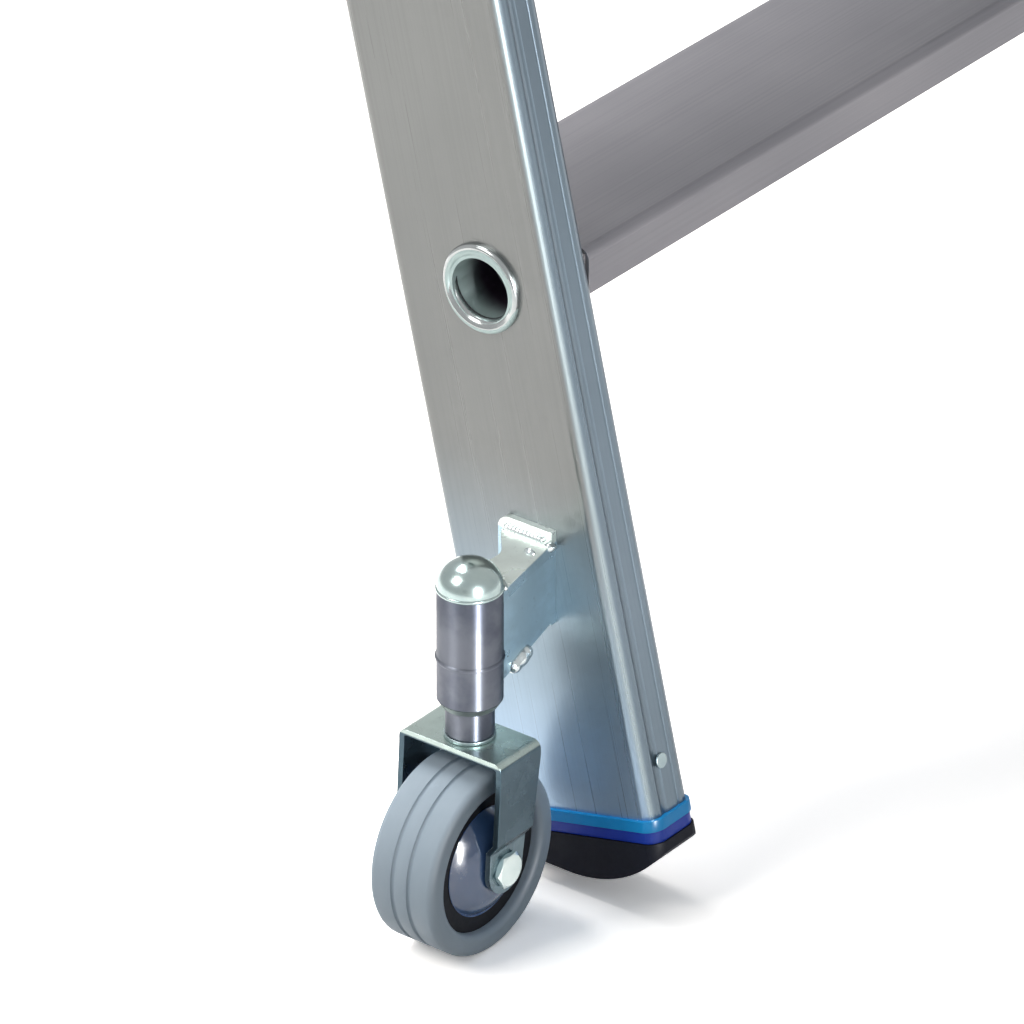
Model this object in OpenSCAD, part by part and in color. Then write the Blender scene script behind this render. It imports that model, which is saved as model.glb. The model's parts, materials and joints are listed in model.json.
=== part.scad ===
// Rolling shelf ladder with sprung castors, hooked over a tubular rail.
// X runs across the ladder, +Y towards the shelves, +Z up. The origin is on the rail's axis,
// halfway between the two hooks. The castors are fully out, so they carry the empty ladder.

/* [Stiles] */
// Depth of a stile's broad side face, from its front edge to its rear edge
stile_d = 75; // [66:1:90]
// Thickness of a stile across the ladder
stile_t = 24; // [20:1:30]
// Wall of the hollow stile
stile_wall = 2; // [1.5:0.1:3]
// Outer corner radius of the stile
stile_r = 5; // [3:0.5:5]
// Length of a stile along its slope
stile_len = 2060; // [2040:1:2080]
// Slope of the ladder, in degrees from the floor
lean = 76.8; // [74:0.1:79]
// Clear width between the stiles
clear_w = 380; // [300:5:500]
// Width of the broad cove along the stile's narrow faces
cove_w = 4.4; // [3:0.1:5]
// Depth of that cove
cove_h = 0.6; // [0.4:0.1:0.8]
// Distance of its middle from the stile's outer face
cove_in = 7.8; // [7.5:0.1:10]
// Width of the fine groove beside it
groove_w = 1.4; // [1:0.1:2]
// Depth of that groove
groove_h = 0.5; // [0.3:0.1:0.6]
// Distance of its middle from the stile's outer face
groove_in = 16.4; // [14:0.1:18]

/* [Treads] */
// Depth of a tread from its nose to its rear edge
tread_d = 77; // [70:1:82]
// Height of a tread's front and rear lips
tread_h = 18; // [14:1:26]
// Wall of the tread profile
tread_wall = 1.8; // [1.4:0.1:2.6]
// Width of the lip turned in along the lower edges
tread_lip = 7; // [4:0.5:10]
// Rounding of the tread's upper edges
tread_r = 4; // [1:0.5:4.5]
// Height from the top tread to the stiles' upper ends, which sets the even pitch of the treads
top_room = 290.6; // [280:0.1:320]
// How far a tread's nose stands in front of the stile at the tread's top
tread_proud = 0.7; // [0:0.1:2]
// Outer radius of the round tube in a tread
tube_r = 15; // [14:0.5:16]
// Wall of that tube
tube_wall = 2; // [1.5:0.1:3]
// Distance from a tread's nose to the tube's centre
tube_back = 31; // [27:0.5:36]
// Clearance round the tube in the stile
tube_fit = 0.05; // [0.02:0.01:0.2]
// Outer radius of the tube's flared ends
flare_r = 17.2; // [16.8:0.1:18]
// Rounding of the flared ends
flare_t = 1.6; // [1.2:0.1:2]

/* [Foot and end caps] */
// How far a cap stands out past the stile's faces
cap_side = 1.5; // [1:0.1:2.5]
// Height of the foot cap below the stile's end
cap_h = 9.5; // [7:0.5:14]
// Height of the foot cap's raised rim
rim_h = 4.6; // [3:0.2:6]
// How far the cap is set in below its rim
rim_inset = 0.8; // [0.4:0.1:1.2]
// Height of the top cap
top_cap_h = 5; // [3:0.5:10]
// Length of the plug inside the stile
plug_len = 40; // [30:1:60]
// Clearance between the plug and the stile's inner walls
plug_gap = 0.2; // [0.1:0.05:0.5]
// Wall of the hollow plug
plug_wall = 3; // [2:0.5:4]
// Height from the sole's flat up to the stile's front corner
sole_drop = 35; // [32:0.5:42]
// Radius of the sole's rocker
rocker_r = 52; // [48:1:60]
// Distance from the stile's front corner back to where the rocker meets the floor
rocker_back = 38; // [34:1:42]
// Radius of the pin that holds the foot cap
pin_r = 2; // [1.5:0.1:2.5]
// Height of the pin's head
pin_head_h = 0.8; // [0.5:0.1:1.2]
// How far the pin's head stands out past its shank
pin_head_w = 1; // [0.6:0.1:1.5]
// Height of that pin above the stile's end
pin_up = 20.7; // [15:0.1:30]
// Distance of that pin from the stile's outer face
pin_in = 11; // [8:0.5:14]

/* [Castor bracket] */
// Distance of the castor's upright axis from the stile's outer face
axis_out = 48.5; // [47:0.5:56]
// Distance of that axis behind the stile's front corner
axis_back = 49; // [46:0.5:52]
// Outer radius of the guide tube
guide_r = 12.5; // [12:0.1:13.5]
// Wall of the guide tube
guide_wall = 1.5; // [1.2:0.1:2]
// Length of the guide tube
guide_len = 45.5; // [44:0.5:56]
// Depth of the guide cap's plug in the tube
cap_plug_h = 5; // [4:0.5:6]
// Height of the guide cap's collar below its dome
collar_h = 2; // [1:0.5:4]
// Thickness of the arm from the guide tube to the stile
arm_h = 5; // [4:0.5:7]
// Reach of the arm's rear edge behind the upright axis, where the arm is narrowest
arm_rear = 7.5; // [6:0.5:10]
// Distance from the upright axis to that narrowest place
neck_in = 26; // [22:0.5:32]
// Thickness of the upright web
web_t = 3; // [2.5:0.5:5]
// Distance from the upright axis forward to the web's middle
web_fore = 1.5; // [0:0.5:3]
// Height of the web's outer lower corner above the guide tube's lower end
web_up = 0.5; // [0.5:0.5:6]
// Width of the web's level stretch beside the guide tube
web_level = 4; // [3:0.5:12]
// Width of the base plate on the stile, from the web's front face to its rear edge
base_w = 25; // [22:0.5:30]
// Thickness of the base plate
base_t = 3; // [2.5:0.5:5]
// How far the base plate rises above the arm
base_up = 4.4; // [2:0.2:8]
// How far the base plate reaches below the top of the arm
base_down = 35; // [30:1:38]
// Rounding of the base plate's rear corners
base_r = 5; // [2:0.5:8]
// Radius of a bracket rivet's shank
rivet_r = 2.4; // [2:0.1:3]
// Clearance round a rivet or pin in its hole
rivet_fit = 0.1; // [0.05:0.05:0.2]
// Radius of a rivet's countersunk head
rivet_head_r = 4.4; // [3.8:0.1:5]
// Depth of a rivet's countersunk head
rivet_sink = 1.5; // [1:0.1:2]
// Radius of a rivet's formed tail, inside the stile
tail_r = 3.6; // [3.2:0.1:4.5]
// Height of a rivet's formed tail
tail_h = 2; // [1.5:0.1:3]
// Distance of the rivets from the arm and from the base plate's lower edge
rivet_edge = 9; // [8:0.5:10]

/* [Sprung plunger] */
// Wall of the guide bush inside the tube
bush_wall = 1.75; // [1.2:0.05:2.5]
// Running clearance round the plunger and the wheel's sleeve
run_fit = 0.05; // [0.02:0.01:0.1]
// Travel of the plunger up into its guide
travel = 11; // [9:0.5:13]
// Space left above the swivel washer at full travel
stop_gap = 0.7; // [0.4:0.1:1.5]
// How high the extended castors hold the feet off the floor
foot_lift = 7.5; // [4:0.5:8.5]
// Length of the guide bush inside the tube
bush_len = 18; // [14:1:20]
// Height of the bush's tapered nose below the tube
nose_h = 3; // [2:0.5:4]
// How far the nose narrows towards its lower end
nose_taper = 1.7; // [0.5:0.1:2]
// Height of the plunger's head, which rests on the bush
head_top_h = 2.5; // [1.5:0.5:3]
// Clearance round the plunger's head in the guide tube
head_gap = 0.3; // [0.2:0.05:0.5]
// Radius of the pilot that centres the spring
pilot_r = 5; // [4:0.5:5.5]
// Height of the pilot
pilot_h = 6; // [3:0.5:7]
// Radius of the spring, to the middle of its wire
spring_r = 7; // [6:0.1:8]
// Radius of the spring's wire
wire_r = 0.9; // [0.7:0.05:1]
// Turns of the spring
spring_turns = 4; // [3:0.5:4.5]
// Clearance at each end of the spring
spring_gap = 0.3; // [0.2:0.1:0.5]
// Radius of the swivel pin under the plunger
spigot_r = 5; // [4:0.5:6]
// Radius of the swivel pin's riveted head
spigot_head_r = 8; // [7:0.5:9]
// Thickness of the riveted head
spigot_head_h = 2.2; // [1.8:0.1:3]
// How far the riveted head narrows towards its lower face
spigot_taper = 1; // [0.5:0.1:1.5]
// Radius of the swivel washer
washer_r = 9.8; // [9.6:0.1:12]
// Thickness of the swivel washer
washer_h = 1.5; // [1:0.1:2.5]
// Clearance at the swivel's flat faces, and between the plunger's head and the bush
swivel_gap = 0.1; // [0.05:0.05:0.2]

/* [Castor wheel] */
// Radius of the wheel
wheel_r = 37.5; // [34:0.5:38]
// Width of the tyre
tyre_w = 30; // [26:0.5:32]
// Radius of the rim inside the tyre
rim_r = 28.8; // [27:0.2:30]
// Width of the rim
rim_w = 22; // [18:0.5:23]
// Clearance between the tyre and the rim, filled by the bond
tyre_fit = 0.05; // [0.02:0.01:0.1]
// Rounding of the tyre's shoulders
shoulder_r = 3; // [2.5:0.5:6]
// Rounding of the tyre's side walls towards the rim
lip_r = 2.5; // [1.5:0.5:3]
// Radius of the two grooves round the tread
tyre_groove_r = 1; // [0.6:0.1:1.3]
// Distance of each groove from the tyre's middle
tyre_groove_y = 3.7; // [3:0.1:5]
// Radius of the domed hub caps
dome_r = 22; // [19:0.5:23]
// How far a dome stands out from the rim
dome_h = 7; // [5:0.5:7]
// Wall of a dome
dome_wall = 1; // [0.8:0.1:1.5]
// Clearance between a dome and the axle's sleeve
dome_gap = 0.4; // [0.2:0.1:1]
// Width of the rim's seat under a dome's edge
dome_seat = 2; // [1.5:0.1:3]
// Radius of the rim's hub
hub_r = 10; // [9:0.5:12]
// Length of the rim's hub
hub_len = 28; // [24:0.5:30]
// Thickness of the rim's disc
disc_w = 11; // [6:0.5:14]
// How far the axle trails behind the swivel axis
trail = 5; // [2:0.5:6]
// Space between the tyre and the fork's crown
crown_gap = 8.3; // [7:0.1:12]
// Outer width of the fork below its crown
fork_w = 48; // [46:0.5:50]
// Width of the fork's crown across the axle
fork_x = 24.5; // [23:0.5:26]
// Plate thickness of the fork
fork_t = 2.5; // [2:0.1:3]
// Outer bend radius of the fork
bend_r = 3.5; // [3:0.5:6]
// How far the legs' lower ends are set in towards the wheel
leg_step = 3; // [0.5:0.5:3.5]
// Height of that step's lower end above the axle
step_up = 10; // [9:0.5:14]
// Height of the step
step_h = 4; // [3:0.5:6]
// Radius of a leg's rounded end
leg_r = 10; // [9:0.5:13]
// Radius of the axle bolt
axle_r = 4; // [3:0.5:5]
// Outer radius of the sleeve on the axle
sleeve_r = 6; // [5.5:0.5:7]
// End clearance of the sleeve between the legs, both ends together
sleeve_gap = 0.4; // [0.2:0.1:0.8]
// Width of the axle's head and nut across their flats
hex_af = 13; // [12:0.5:15]
// Height of the axle's head
head_h = 2.5; // [2:0.5:5]
// Height of the axle's nut
axle_nut_h = 5; // [4:0.5:6.5]
// Length of thread past the axle's nut
thread_out = 1.5; // [0.5:0.5:4]

/* [Rail hooks] */
// Diameter of the rail
rail_d = 30; // [28:1:32]
// Clearance round the rail
rail_fit = 0.25; // [0.1:0.05:0.5]
// Distance of the rail's axis below the stile's top end, along the slope
rail_down = 14; // [12:1:60]
// Distance from the stile's rear edge square back to the rail's axis
rail_back = 44; // [40:1:60]
// Thickness of the hook plate
hook_t = 8; // [6:0.5:10]
// Width of the hook's strap along the stile
strap_w = 44; // [36:1:50]
// Width of the hook's arm over to the rail
arm_over_w = 50; // [44:1:54]
// Metal round the hook's throat
hook_rim = 14; // [10:1:18]
// Length of the throat's straight legs below the rail's axis
throat_leg = 24; // [20:1:30]
// Wall of the hook's plastic liner
liner_wall = 2.25; // [1.5:0.05:3.5]
// Width of the liner along the rail
liner_w = 24; // [18:1:28]
// Height of the liner's flanges beside the hook plate
liner_flange = 3; // [2:0.5:4]
// Clearance between the liner and the hook plate, round the throat and beside the plate
liner_gap = 0.2; // [0.1:0.05:0.4]
// How far the liner stops short of the throat's legs
liner_short = 2; // [0:0.5:5]
// Distance from the stile's top end to the upper hook bolt
hook_bolt_top = 45; // [35:1:60]
// Distance between the hook bolts
hook_bolt_gap = 90; // [70:1:110]
// Radius of a hook bolt
hook_bolt_r = 4; // [3:0.5:5]
// Height of a hook bolt's head
hook_head_h = 5.3; // [4:0.1:7]
// Height of a hook bolt's nut
hook_nut_h = 6.5; // [5:0.5:8]

/* [Hidden] */
$fn = 64;
tread_count = 7;
// Overshoot of a cut past the face that it opens, and of a piece into the one it is joined to
cut = 1;

// The ladder as a whole, from the floor up
outer_w = clear_w + 2 * stile_t;
half_w = outer_w / 2;
end_z = foot_lift + sole_drop;
tread_pitch = (sole_drop + stile_len * sin(lean) - top_room) / tread_count;
rail_at = off_stile(stile_d + rail_back, stile_len - rail_down);
rail_y = rail_at[0];
rail_z = rail_at[1];

// The castor's levels, from the floor up
crown_z = 2 * wheel_r + crown_gap;
fork_top = crown_z + fork_t;
washer_z = fork_top + swivel_gap;
shoulder_z = washer_z + washer_h;
mouth_z = shoulder_z + travel + stop_gap;
tube_bot = mouth_z + nose_h;
tube_top = tube_bot + guide_len;
seat_z = tube_top - cap_plug_h;
head_z = tube_bot + bush_len + swivel_gap;
plunger_top = head_z + head_top_h;
base_top = tube_top + base_up;
base_bot = tube_top - base_down;
guide_in = guide_r - guide_wall;
plunger_r = guide_in - bush_wall;
web_front = axis_back - web_fore - web_t / 2;
axle_w = fork_w - 2 * leg_step;

// The hook's throat and its seat on the rail
seat_r = rail_d / 2 + rail_fit;
liner_r = seat_r + liner_wall;
throat_r = liner_r + liner_gap;
hook_r = throat_r + hook_rim;
hook_mid = stile_t + hook_t / 2;

// Point of the stile's own frame as [y, z] in the floor frame
function off_stile(deep, up) =
    [deep * sin(lean) + up * cos(lean), end_z - deep * cos(lean) + up * sin(lean)];
// Front face of the stile at a height above the floor
function front_y(z) = (z - end_z) / tan(lean);
// Height of a tread's top above the floor
function tread_z(i) = foot_lift + i * tread_pitch;
// Front of a tread
function tread_y(i) = front_y(tread_z(i)) - tread_proud;
// Depth of the tube's centre below a tread's top, with the tube sunk half into the deck
tube_down = tube_r + tread_wall / 2;
// Centre of a tread's tube, as [y, z] in the floor frame
function tube_at(i) = [tread_y(i) + tube_back, tread_z(i) - tube_down];
// Points along an arc, from one angle to another
function arc(centre, r, from, to, steps) =
    [for (k = [0 : steps]) let (a = from + (to - from) * k / steps) centre + r * [cos(a), sin(a)]];
// Angle on the guide tube at which the bracket's arm leaves it
arm_angle = 30;
// Smooth passage from the point a to the point b, in a number of steps
function ease(a, b, steps) =
    [for (k = [0 : steps]) let (t = k / steps)
        [a[0] + (b[0] - a[0]) * t, a[1] + (b[1] - a[1]) * (1 - cos(180 * t)) / 2]];

// Moves the floor frame to the rail
module placed() {
    translate([0, -rail_y, -rail_z]) children();
}
// One side's frame: x runs inwards from the stile's outer face, z up from the floor
module left() {
    placed() translate([-half_w, 0, 0]) children();
}
module right() {
    placed() mirror([1, 0, 0]) translate([-half_w, 0, 0]) children();
}
// The stile's own frame: y from its front edge to its rear edge, z along its slope
module along_stile() {
    translate([0, 0, end_z]) rotate([lean - 90, 0, 0]) children();
}
// The upright axis of the castor
module at_castor() {
    translate([-axis_out, axis_back, 0]) children();
}
// The wheel's axle, with z along it
module at_axle() {
    at_castor() translate([-trail, 0, wheel_r]) rotate([90, 0, 0]) children();
}
module rounded(w, d, r) {
    for (x = [r, w - r]) for (y = [r, d - r]) translate([x, y]) circle(r);
    translate([r, 0]) square([w - 2 * r, d]);
    translate([0, r]) square([w, d - 2 * r]);
}
// A cylinder along x
module rod_x(r, x0, x1) {
    translate([x0, 0, 0]) rotate([0, 90, 0]) cylinder(r = r, h = x1 - x0);
}
module hex(af, h) {
    cylinder(r = af / sqrt(3), h = h, $fn = 6);
}
// A flat bar with round ends between two points
module bar(a, b, w) {
    turn = atan2(b[1] - a[1], b[0] - a[0]);
    polygon(concat(arc(a, w / 2, turn + 90, turn + 270, 24), arc(b, w / 2, turn - 90, turn + 90, 24)));
}

// Places shared by the pieces that meet there
module rivet_places() {
    y = web_front + (base_w + web_t) / 2;
    for (z = [base_bot + rivet_edge, tube_top - arm_h - rivet_edge]) translate([0, y, z]) children();
}
module hook_bolt_places() {
    along_stile() for (k = [0, 1])
        translate([0, stile_d / 2, stile_len - hook_bolt_top - k * hook_bolt_gap]) children();
}
module foot_pin_place() {
    along_stile() translate([pin_in, 0, pin_up]) rotate([-90, 0, 0]) children();
}

// Stile: a hollow extrusion with a cove and a fine groove along each narrow face
module cove(w, deep) {
    // The circle cuts the face w wide and reaches deep below it
    r = (w * w / 4 + deep * deep) / (2 * deep);
    for (y = [deep - r, stile_d - deep + r]) translate([0, y]) circle(r);
}
module stile_profile() {
    difference() {
        rounded(stile_t, stile_d, stile_r);
        translate([stile_wall, stile_wall]) square([stile_t - 2 * stile_wall, stile_d - 2 * stile_wall]);
        translate([cove_in, 0]) cove(cove_w, cove_h);
        translate([groove_in, 0]) cove(groove_w, groove_h);
    }
}
module stile() {
    color([0.72, 0.74, 0.76]) difference() {
        along_stile() linear_extrude(stile_len) stile_profile();
        for (i = [1 : tread_count])
            translate([0, tube_at(i)[0], tube_at(i)[1]]) rod_x(tube_r + tube_fit, -cut, stile_t + cut);
        rivet_places() rod_x(rivet_r + rivet_fit, -cut, stile_wall + cut);
        hook_bolt_places() rod_x(hook_bolt_r + rivet_fit, -cut, stile_t + cut);
        foot_pin_place() translate([0, 0, -cut]) cylinder(r = pin_r + rivet_fit, h = stile_wall + 2 * cut);
    }
}

// Tread: a channel with turned-in lips and a round tube that is flared over outside the stiles
module tread_profile() {
    difference() {
        union() {
            translate([0, -tread_h]) rounded(tread_d, tread_h, tread_r);
            translate([0, -tread_h]) square([tread_d, tread_r]);
        }
        translate([tread_wall, -tread_h + tread_wall])
            square([tread_d - 2 * tread_wall, tread_h - 2 * tread_wall]);
        translate([tread_lip, -tread_h - cut]) square([tread_d - 2 * tread_lip, tread_h / 2]);
    }
}
module flare_lip() {
    rotate_extrude() intersection() {
        translate([flare_r - flare_t, flare_t / 2]) circle(flare_t, $fn = 32);
        translate([tube_r - tube_wall, 0]) square([tube_wall + flare_r, 2 * flare_t]);
    }
}
module tread(i) {
    color([0.66, 0.66, 0.67]) placed() translate([0, tread_y(i), tread_z(i)]) difference() {
        union() {
            translate([-clear_w / 2, 0, 0]) rotate([90, 0, 90]) linear_extrude(clear_w) tread_profile();
            translate([0, tube_back, -tube_down]) {
                rod_x(tube_r, -half_w - flare_t, half_w + flare_t);
                for (s = [0, 1]) mirror([s, 0, 0]) translate([half_w, 0, 0]) rotate([0, 90, 0]) flare_lip();
            }
        }
        translate([0, tube_back, -tube_down])
            rod_x(tube_r - tube_wall, -half_w - 2 * flare_t, half_w + 2 * flare_t);
    }
}

// Foot cap: a hollow plug in the stile over a stepped blue block
module plug(len) {
    gap = stile_wall + plug_gap;
    inner = gap + plug_wall;
    linear_extrude(len) difference() {
        translate([gap, gap]) square([stile_t - 2 * gap, stile_d - 2 * gap]);
        translate([inner, inner]) square([stile_t - 2 * inner, stile_d - 2 * inner]);
    }
}
module cap_block(h, side) {
    translate([-side, -side, 0]) linear_extrude(h)
        rounded(stile_t + 2 * side, stile_d + 2 * side, stile_r + side);
}
module foot_cap() {
    color([0.05, 0.35, 0.75]) difference() {
        along_stile() {
            translate([0, 0, -rim_h]) cap_block(rim_h, cap_side);
            translate([0, 0, -cap_h]) cap_block(cap_h, cap_side - rim_inset);
            plug(plug_len);
        }
        foot_pin_place() translate([0, 0, stile_wall])
            cylinder(r = pin_r + rivet_fit, h = plug_gap + plug_wall + cut);
    }
}
// Foot sole: black rubber below the cap, curved up at the front and flat behind
module foot_sole() {
    far = 2 * sole_drop;
    color([0.07, 0.08, 0.12]) intersection() {
        along_stile() translate([0, 0, -cap_h - far]) cap_block(far, cap_side);
        translate([-cap_side - cut, 0, 0]) rotate([90, 0, 90])
            linear_extrude(stile_t + 2 * cap_side + 2 * cut) polygon(concat(
                arc([rocker_back, foot_lift + rocker_r], rocker_r, 180, 270, 36),
                [[far + rocker_back, foot_lift], [far + rocker_back, foot_lift + rocker_r]]
            ));
    }
}
module foot_pin() {
    color([0.8, 0.8, 0.82]) foot_pin_place() {
        translate([0, 0, -pin_head_h]) cylinder(r = pin_r + pin_head_w, h = pin_head_h);
        cylinder(r = pin_r, h = stile_wall + plug_wall);
    }
}
module top_cap() {
    color([0.05, 0.35, 0.75]) along_stile() translate([0, 0, stile_len]) {
        cap_block(top_cap_h, cap_side);
        mirror([0, 0, 1]) plug(plug_len / 2);
    }
}

// Castor bracket: base plate behind the upright web, and the arm from the guide tube over both
module base_shape() {
    translate([0, base_bot]) difference() {
        rounded(base_w, base_top - base_bot, base_r);
        square(base_r);
        translate([0, base_top - base_bot - base_r]) square(base_r);
    }
    translate([0, base_bot]) square([base_r, base_top - base_bot]);
}
module arm_shape() {
    side = guide_r * cos(arm_angle);
    neck = [neck_in, arm_rear];
    wall = [axis_out - base_t / 2, web_front + base_w - base_r / 2 - axis_back];
    polygon(concat(
        [[wall[0], web_front - axis_back], [guide_r / 2, -side]],
        ease([guide_r / 2, side], neck, 8),
        ease(neck, wall, 8)
    ));
}
module castor_bracket() {
    color([0.62, 0.66, 0.66]) difference() {
        union() {
            translate([-base_t, web_front, 0]) rotate([90, 0, 90]) linear_extrude(base_t) base_shape();
            // Web, cut back along its lower edge
            translate([0, web_front + web_t, 0]) rotate([90, 0, 0]) linear_extrude(web_t) polygon([
                [-base_t / 2, tube_top - cut], [-base_t / 2, base_bot + cut], [-base_t, base_bot + cut],
                [-axis_out + guide_r + web_level, tube_bot + web_up],
                [-axis_out + guide_r / 2, tube_bot + web_up], [-axis_out + guide_r / 2, tube_top - cut]
            ]);
            translate([-axis_out, axis_back, tube_top - arm_h]) linear_extrude(arm_h) arm_shape();
        }
        // Room for the guide tube
        at_castor() translate([0, 0, tube_bot - cut]) cylinder(r = guide_r, h = guide_len + 2 * cut);
        rivet_places() {
            rod_x(rivet_r + rivet_fit, -base_t - cut, cut);
            rotate([0, 90, 0]) translate([0, 0, -base_t])
                cylinder(r1 = rivet_head_r + rivet_fit, r2 = rivet_r + rivet_fit, h = rivet_sink);
        }
    }
}
module bracket_rivets() {
    color([0.7, 0.72, 0.73]) rivet_places() {
        rod_x(rivet_r, -base_t, stile_wall + tail_h / 2);
        rotate([0, 90, 0]) translate([0, 0, -base_t])
            cylinder(r1 = rivet_head_r, r2 = rivet_r, h = rivet_sink);
        rod_x(tail_r, stile_wall, stile_wall + tail_h);
    }
}
module guide_tube() {
    color([0.78, 0.79, 0.8]) at_castor() translate([0, 0, tube_bot]) difference() {
        cylinder(r = guide_r, h = guide_len);
        translate([0, 0, -cut]) cylinder(r = guide_in, h = guide_len + 2 * cut);
    }
}
// Guide cap: a domed cap with a plug that closes the tube and carries the spring
module guide_cap() {
    color([0.72, 0.76, 0.74]) at_castor() {
        translate([0, 0, seat_z]) cylinder(r = guide_in, h = cap_plug_h + collar_h / 2);
        translate([0, 0, tube_top]) rotate_extrude()
            polygon(concat([[0, 0], [guide_r, 0]], arc([0, collar_h], guide_r, 0, 90, 24)));
    }
}
// Guide bush: a sleeve in the tube's mouth with a tapered nose below it
module guide_bush() {
    color([0.5, 0.55, 0.54]) at_castor() difference() {
        union() {
            translate([0, 0, mouth_z]) cylinder(r1 = guide_r - nose_taper, r2 = guide_r, h = nose_h);
            translate([0, 0, tube_bot]) cylinder(r = guide_in, h = bush_len);
        }
        translate([0, 0, mouth_z - cut])
            cylinder(r = plunger_r + run_fit, h = nose_h + bush_len + 2 * cut);
    }
}

// Plunger: turned from one bar, with its head and the spring's pilot above and the riveted swivel
// pin below
module plunger() {
    color([0.75, 0.76, 0.78]) at_castor() {
        translate([0, 0, shoulder_z]) cylinder(r = plunger_r, h = plunger_top - shoulder_z);
        translate([0, 0, crown_z - swivel_gap]) cylinder(r = spigot_r, h = plunger_top - crown_z);
        translate([0, 0, crown_z - swivel_gap - spigot_head_h])
            cylinder(r1 = spigot_head_r - spigot_taper, r2 = spigot_head_r, h = spigot_head_h);
        translate([0, 0, head_z]) cylinder(r = guide_in - head_gap, h = head_top_h);
        translate([0, 0, plunger_top - cut]) cylinder(r = pilot_r, h = pilot_h + cut);
    }
}
// Spring: one unbroken round wire wound between the plunger and the guide cap
module castor_spring() {
    sides = 6;
    steps = 12;
    rings = ceil(spring_turns * steps);
    z0 = plunger_top + spring_gap + wire_r;
    rise = seat_z - spring_gap - wire_r - z0;
    centres = [
        for (k = [0 : rings]) let (a = 360 * k / steps)
            [spring_r * cos(a), spring_r * sin(a), z0 + rise * k / rings]
    ];
    // The turns' least distance, from each point to those at least half a turn further on
    least = min([
        for (k = [0 : rings - steps / 2]) for (m = [k + steps / 2 : rings]) norm(centres[m] - centres[k])
    ]) - 2 * wire_r;
    echo("Least gap between the spring's turns, in mm:", least);
    points = [
        for (k = [0 : rings]) for (j = [0 : sides - 1])
            let (a = 360 * k / steps, b = 360 * j / sides)
            centres[k] + wire_r * [cos(b) * cos(a), cos(b) * sin(a), sin(b)]
    ];
    walls = [
        for (k = [0 : rings - 1]) for (j = [0 : sides - 1])
            let (p = k * sides + j, q = k * sides + (j + 1) % sides)
            each [[p, q, q + sides], [p, q + sides, p + sides]]
    ];
    first = [for (j = [1 : sides - 2]) [0, j + 1, j]];
    last = [for (j = [1 : sides - 2]) [rings * sides, rings * sides + j, rings * sides + j + 1]];
    color([0.5, 0.52, 0.55]) at_castor()
        polyhedron(points = points, faces = concat(walls, first, last), convexity = 6);
}
module swivel_washer() {
    color([0.8, 0.8, 0.8]) at_castor() translate([0, 0, washer_z]) difference() {
        cylinder(r = washer_r, h = washer_h);
        translate([0, 0, -cut]) cylinder(r = spigot_r, h = washer_h + 2 * cut);
    }
}

// Fork: a bent plate with a leg on each side of the wheel
module fork_side() {
    polygon(concat(
        [
            [-fork_x / 2, crown_z - bend_r], [-fork_x / 2, fork_top + cut],
            [fork_x / 2, fork_top + cut], [fork_x / 2, crown_z - bend_r]
        ],
        arc([-trail, wheel_r], leg_r, 0, -180, 32)
    ));
}
module fork_front() {
    out = fork_w / 2;
    in = out - fork_t;
    inner_r = bend_r - fork_t;
    low = wheel_r + step_up;
    high = low + step_h;
    polygon(concat(
        [[leg_step - out, 0], [leg_step - out, low], [-out, high]],
        arc([-out + bend_r, fork_top - bend_r], bend_r, 180, 90, 8),
        arc([out - bend_r, fork_top - bend_r], bend_r, 90, 0, 8),
        [[out, high], [out - leg_step, low], [out - leg_step, 0]],
        [[in - leg_step, 0], [in - leg_step, low], [in, high]],
        arc([in - inner_r, crown_z - inner_r], inner_r, 0, 90, 8),
        arc([-in + inner_r, crown_z - inner_r], inner_r, 90, 180, 8),
        [[-in, high], [leg_step - in, low], [leg_step - in, 0]]
    ));
}
module castor_fork() {
    color([0.5, 0.55, 0.56]) at_castor() difference() {
        intersection() {
            translate([0, fork_w / 2 + cut, 0]) rotate([90, 0, 0])
                linear_extrude(fork_w + 2 * cut) fork_side();
            translate([-2 * leg_r - trail, 0, 0]) rotate([90, 0, 90])
                linear_extrude(4 * leg_r + 2 * trail) fork_front();
        }
        translate([0, 0, crown_z - cut]) cylinder(r = spigot_r + run_fit, h = fork_t + 2 * cut);
        translate([-trail, fork_w / 2 + cut, wheel_r]) rotate([90, 0, 0])
            cylinder(r = axle_r + run_fit, h = fork_w + 2 * cut);
    }
}
module axle_bolt() {
    color([0.82, 0.83, 0.84]) at_axle() {
        translate([0, 0, axle_w / 2]) hex(hex_af, head_h);
        translate([0, 0, -axle_w / 2 - axle_nut_h - thread_out])
            cylinder(r = axle_r, h = axle_w + axle_nut_h + thread_out + head_h / 2);
    }
}
module axle_nut() {
    color([0.8, 0.81, 0.82]) at_axle() translate([0, 0, -axle_w / 2 - axle_nut_h]) difference() {
        hex(hex_af, axle_nut_h);
        translate([0, 0, -cut]) cylinder(r = axle_r, h = axle_nut_h + 2 * cut);
    }
}
module axle_sleeve() {
    len = axle_w - 2 * fork_t - sleeve_gap;
    color([0.75, 0.76, 0.77]) at_axle() translate([0, 0, -len / 2]) difference() {
        cylinder(r = sleeve_r, h = len);
        translate([0, 0, -cut]) cylinder(r = axle_r + run_fit, h = len + 2 * cut);
    }
}

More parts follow.
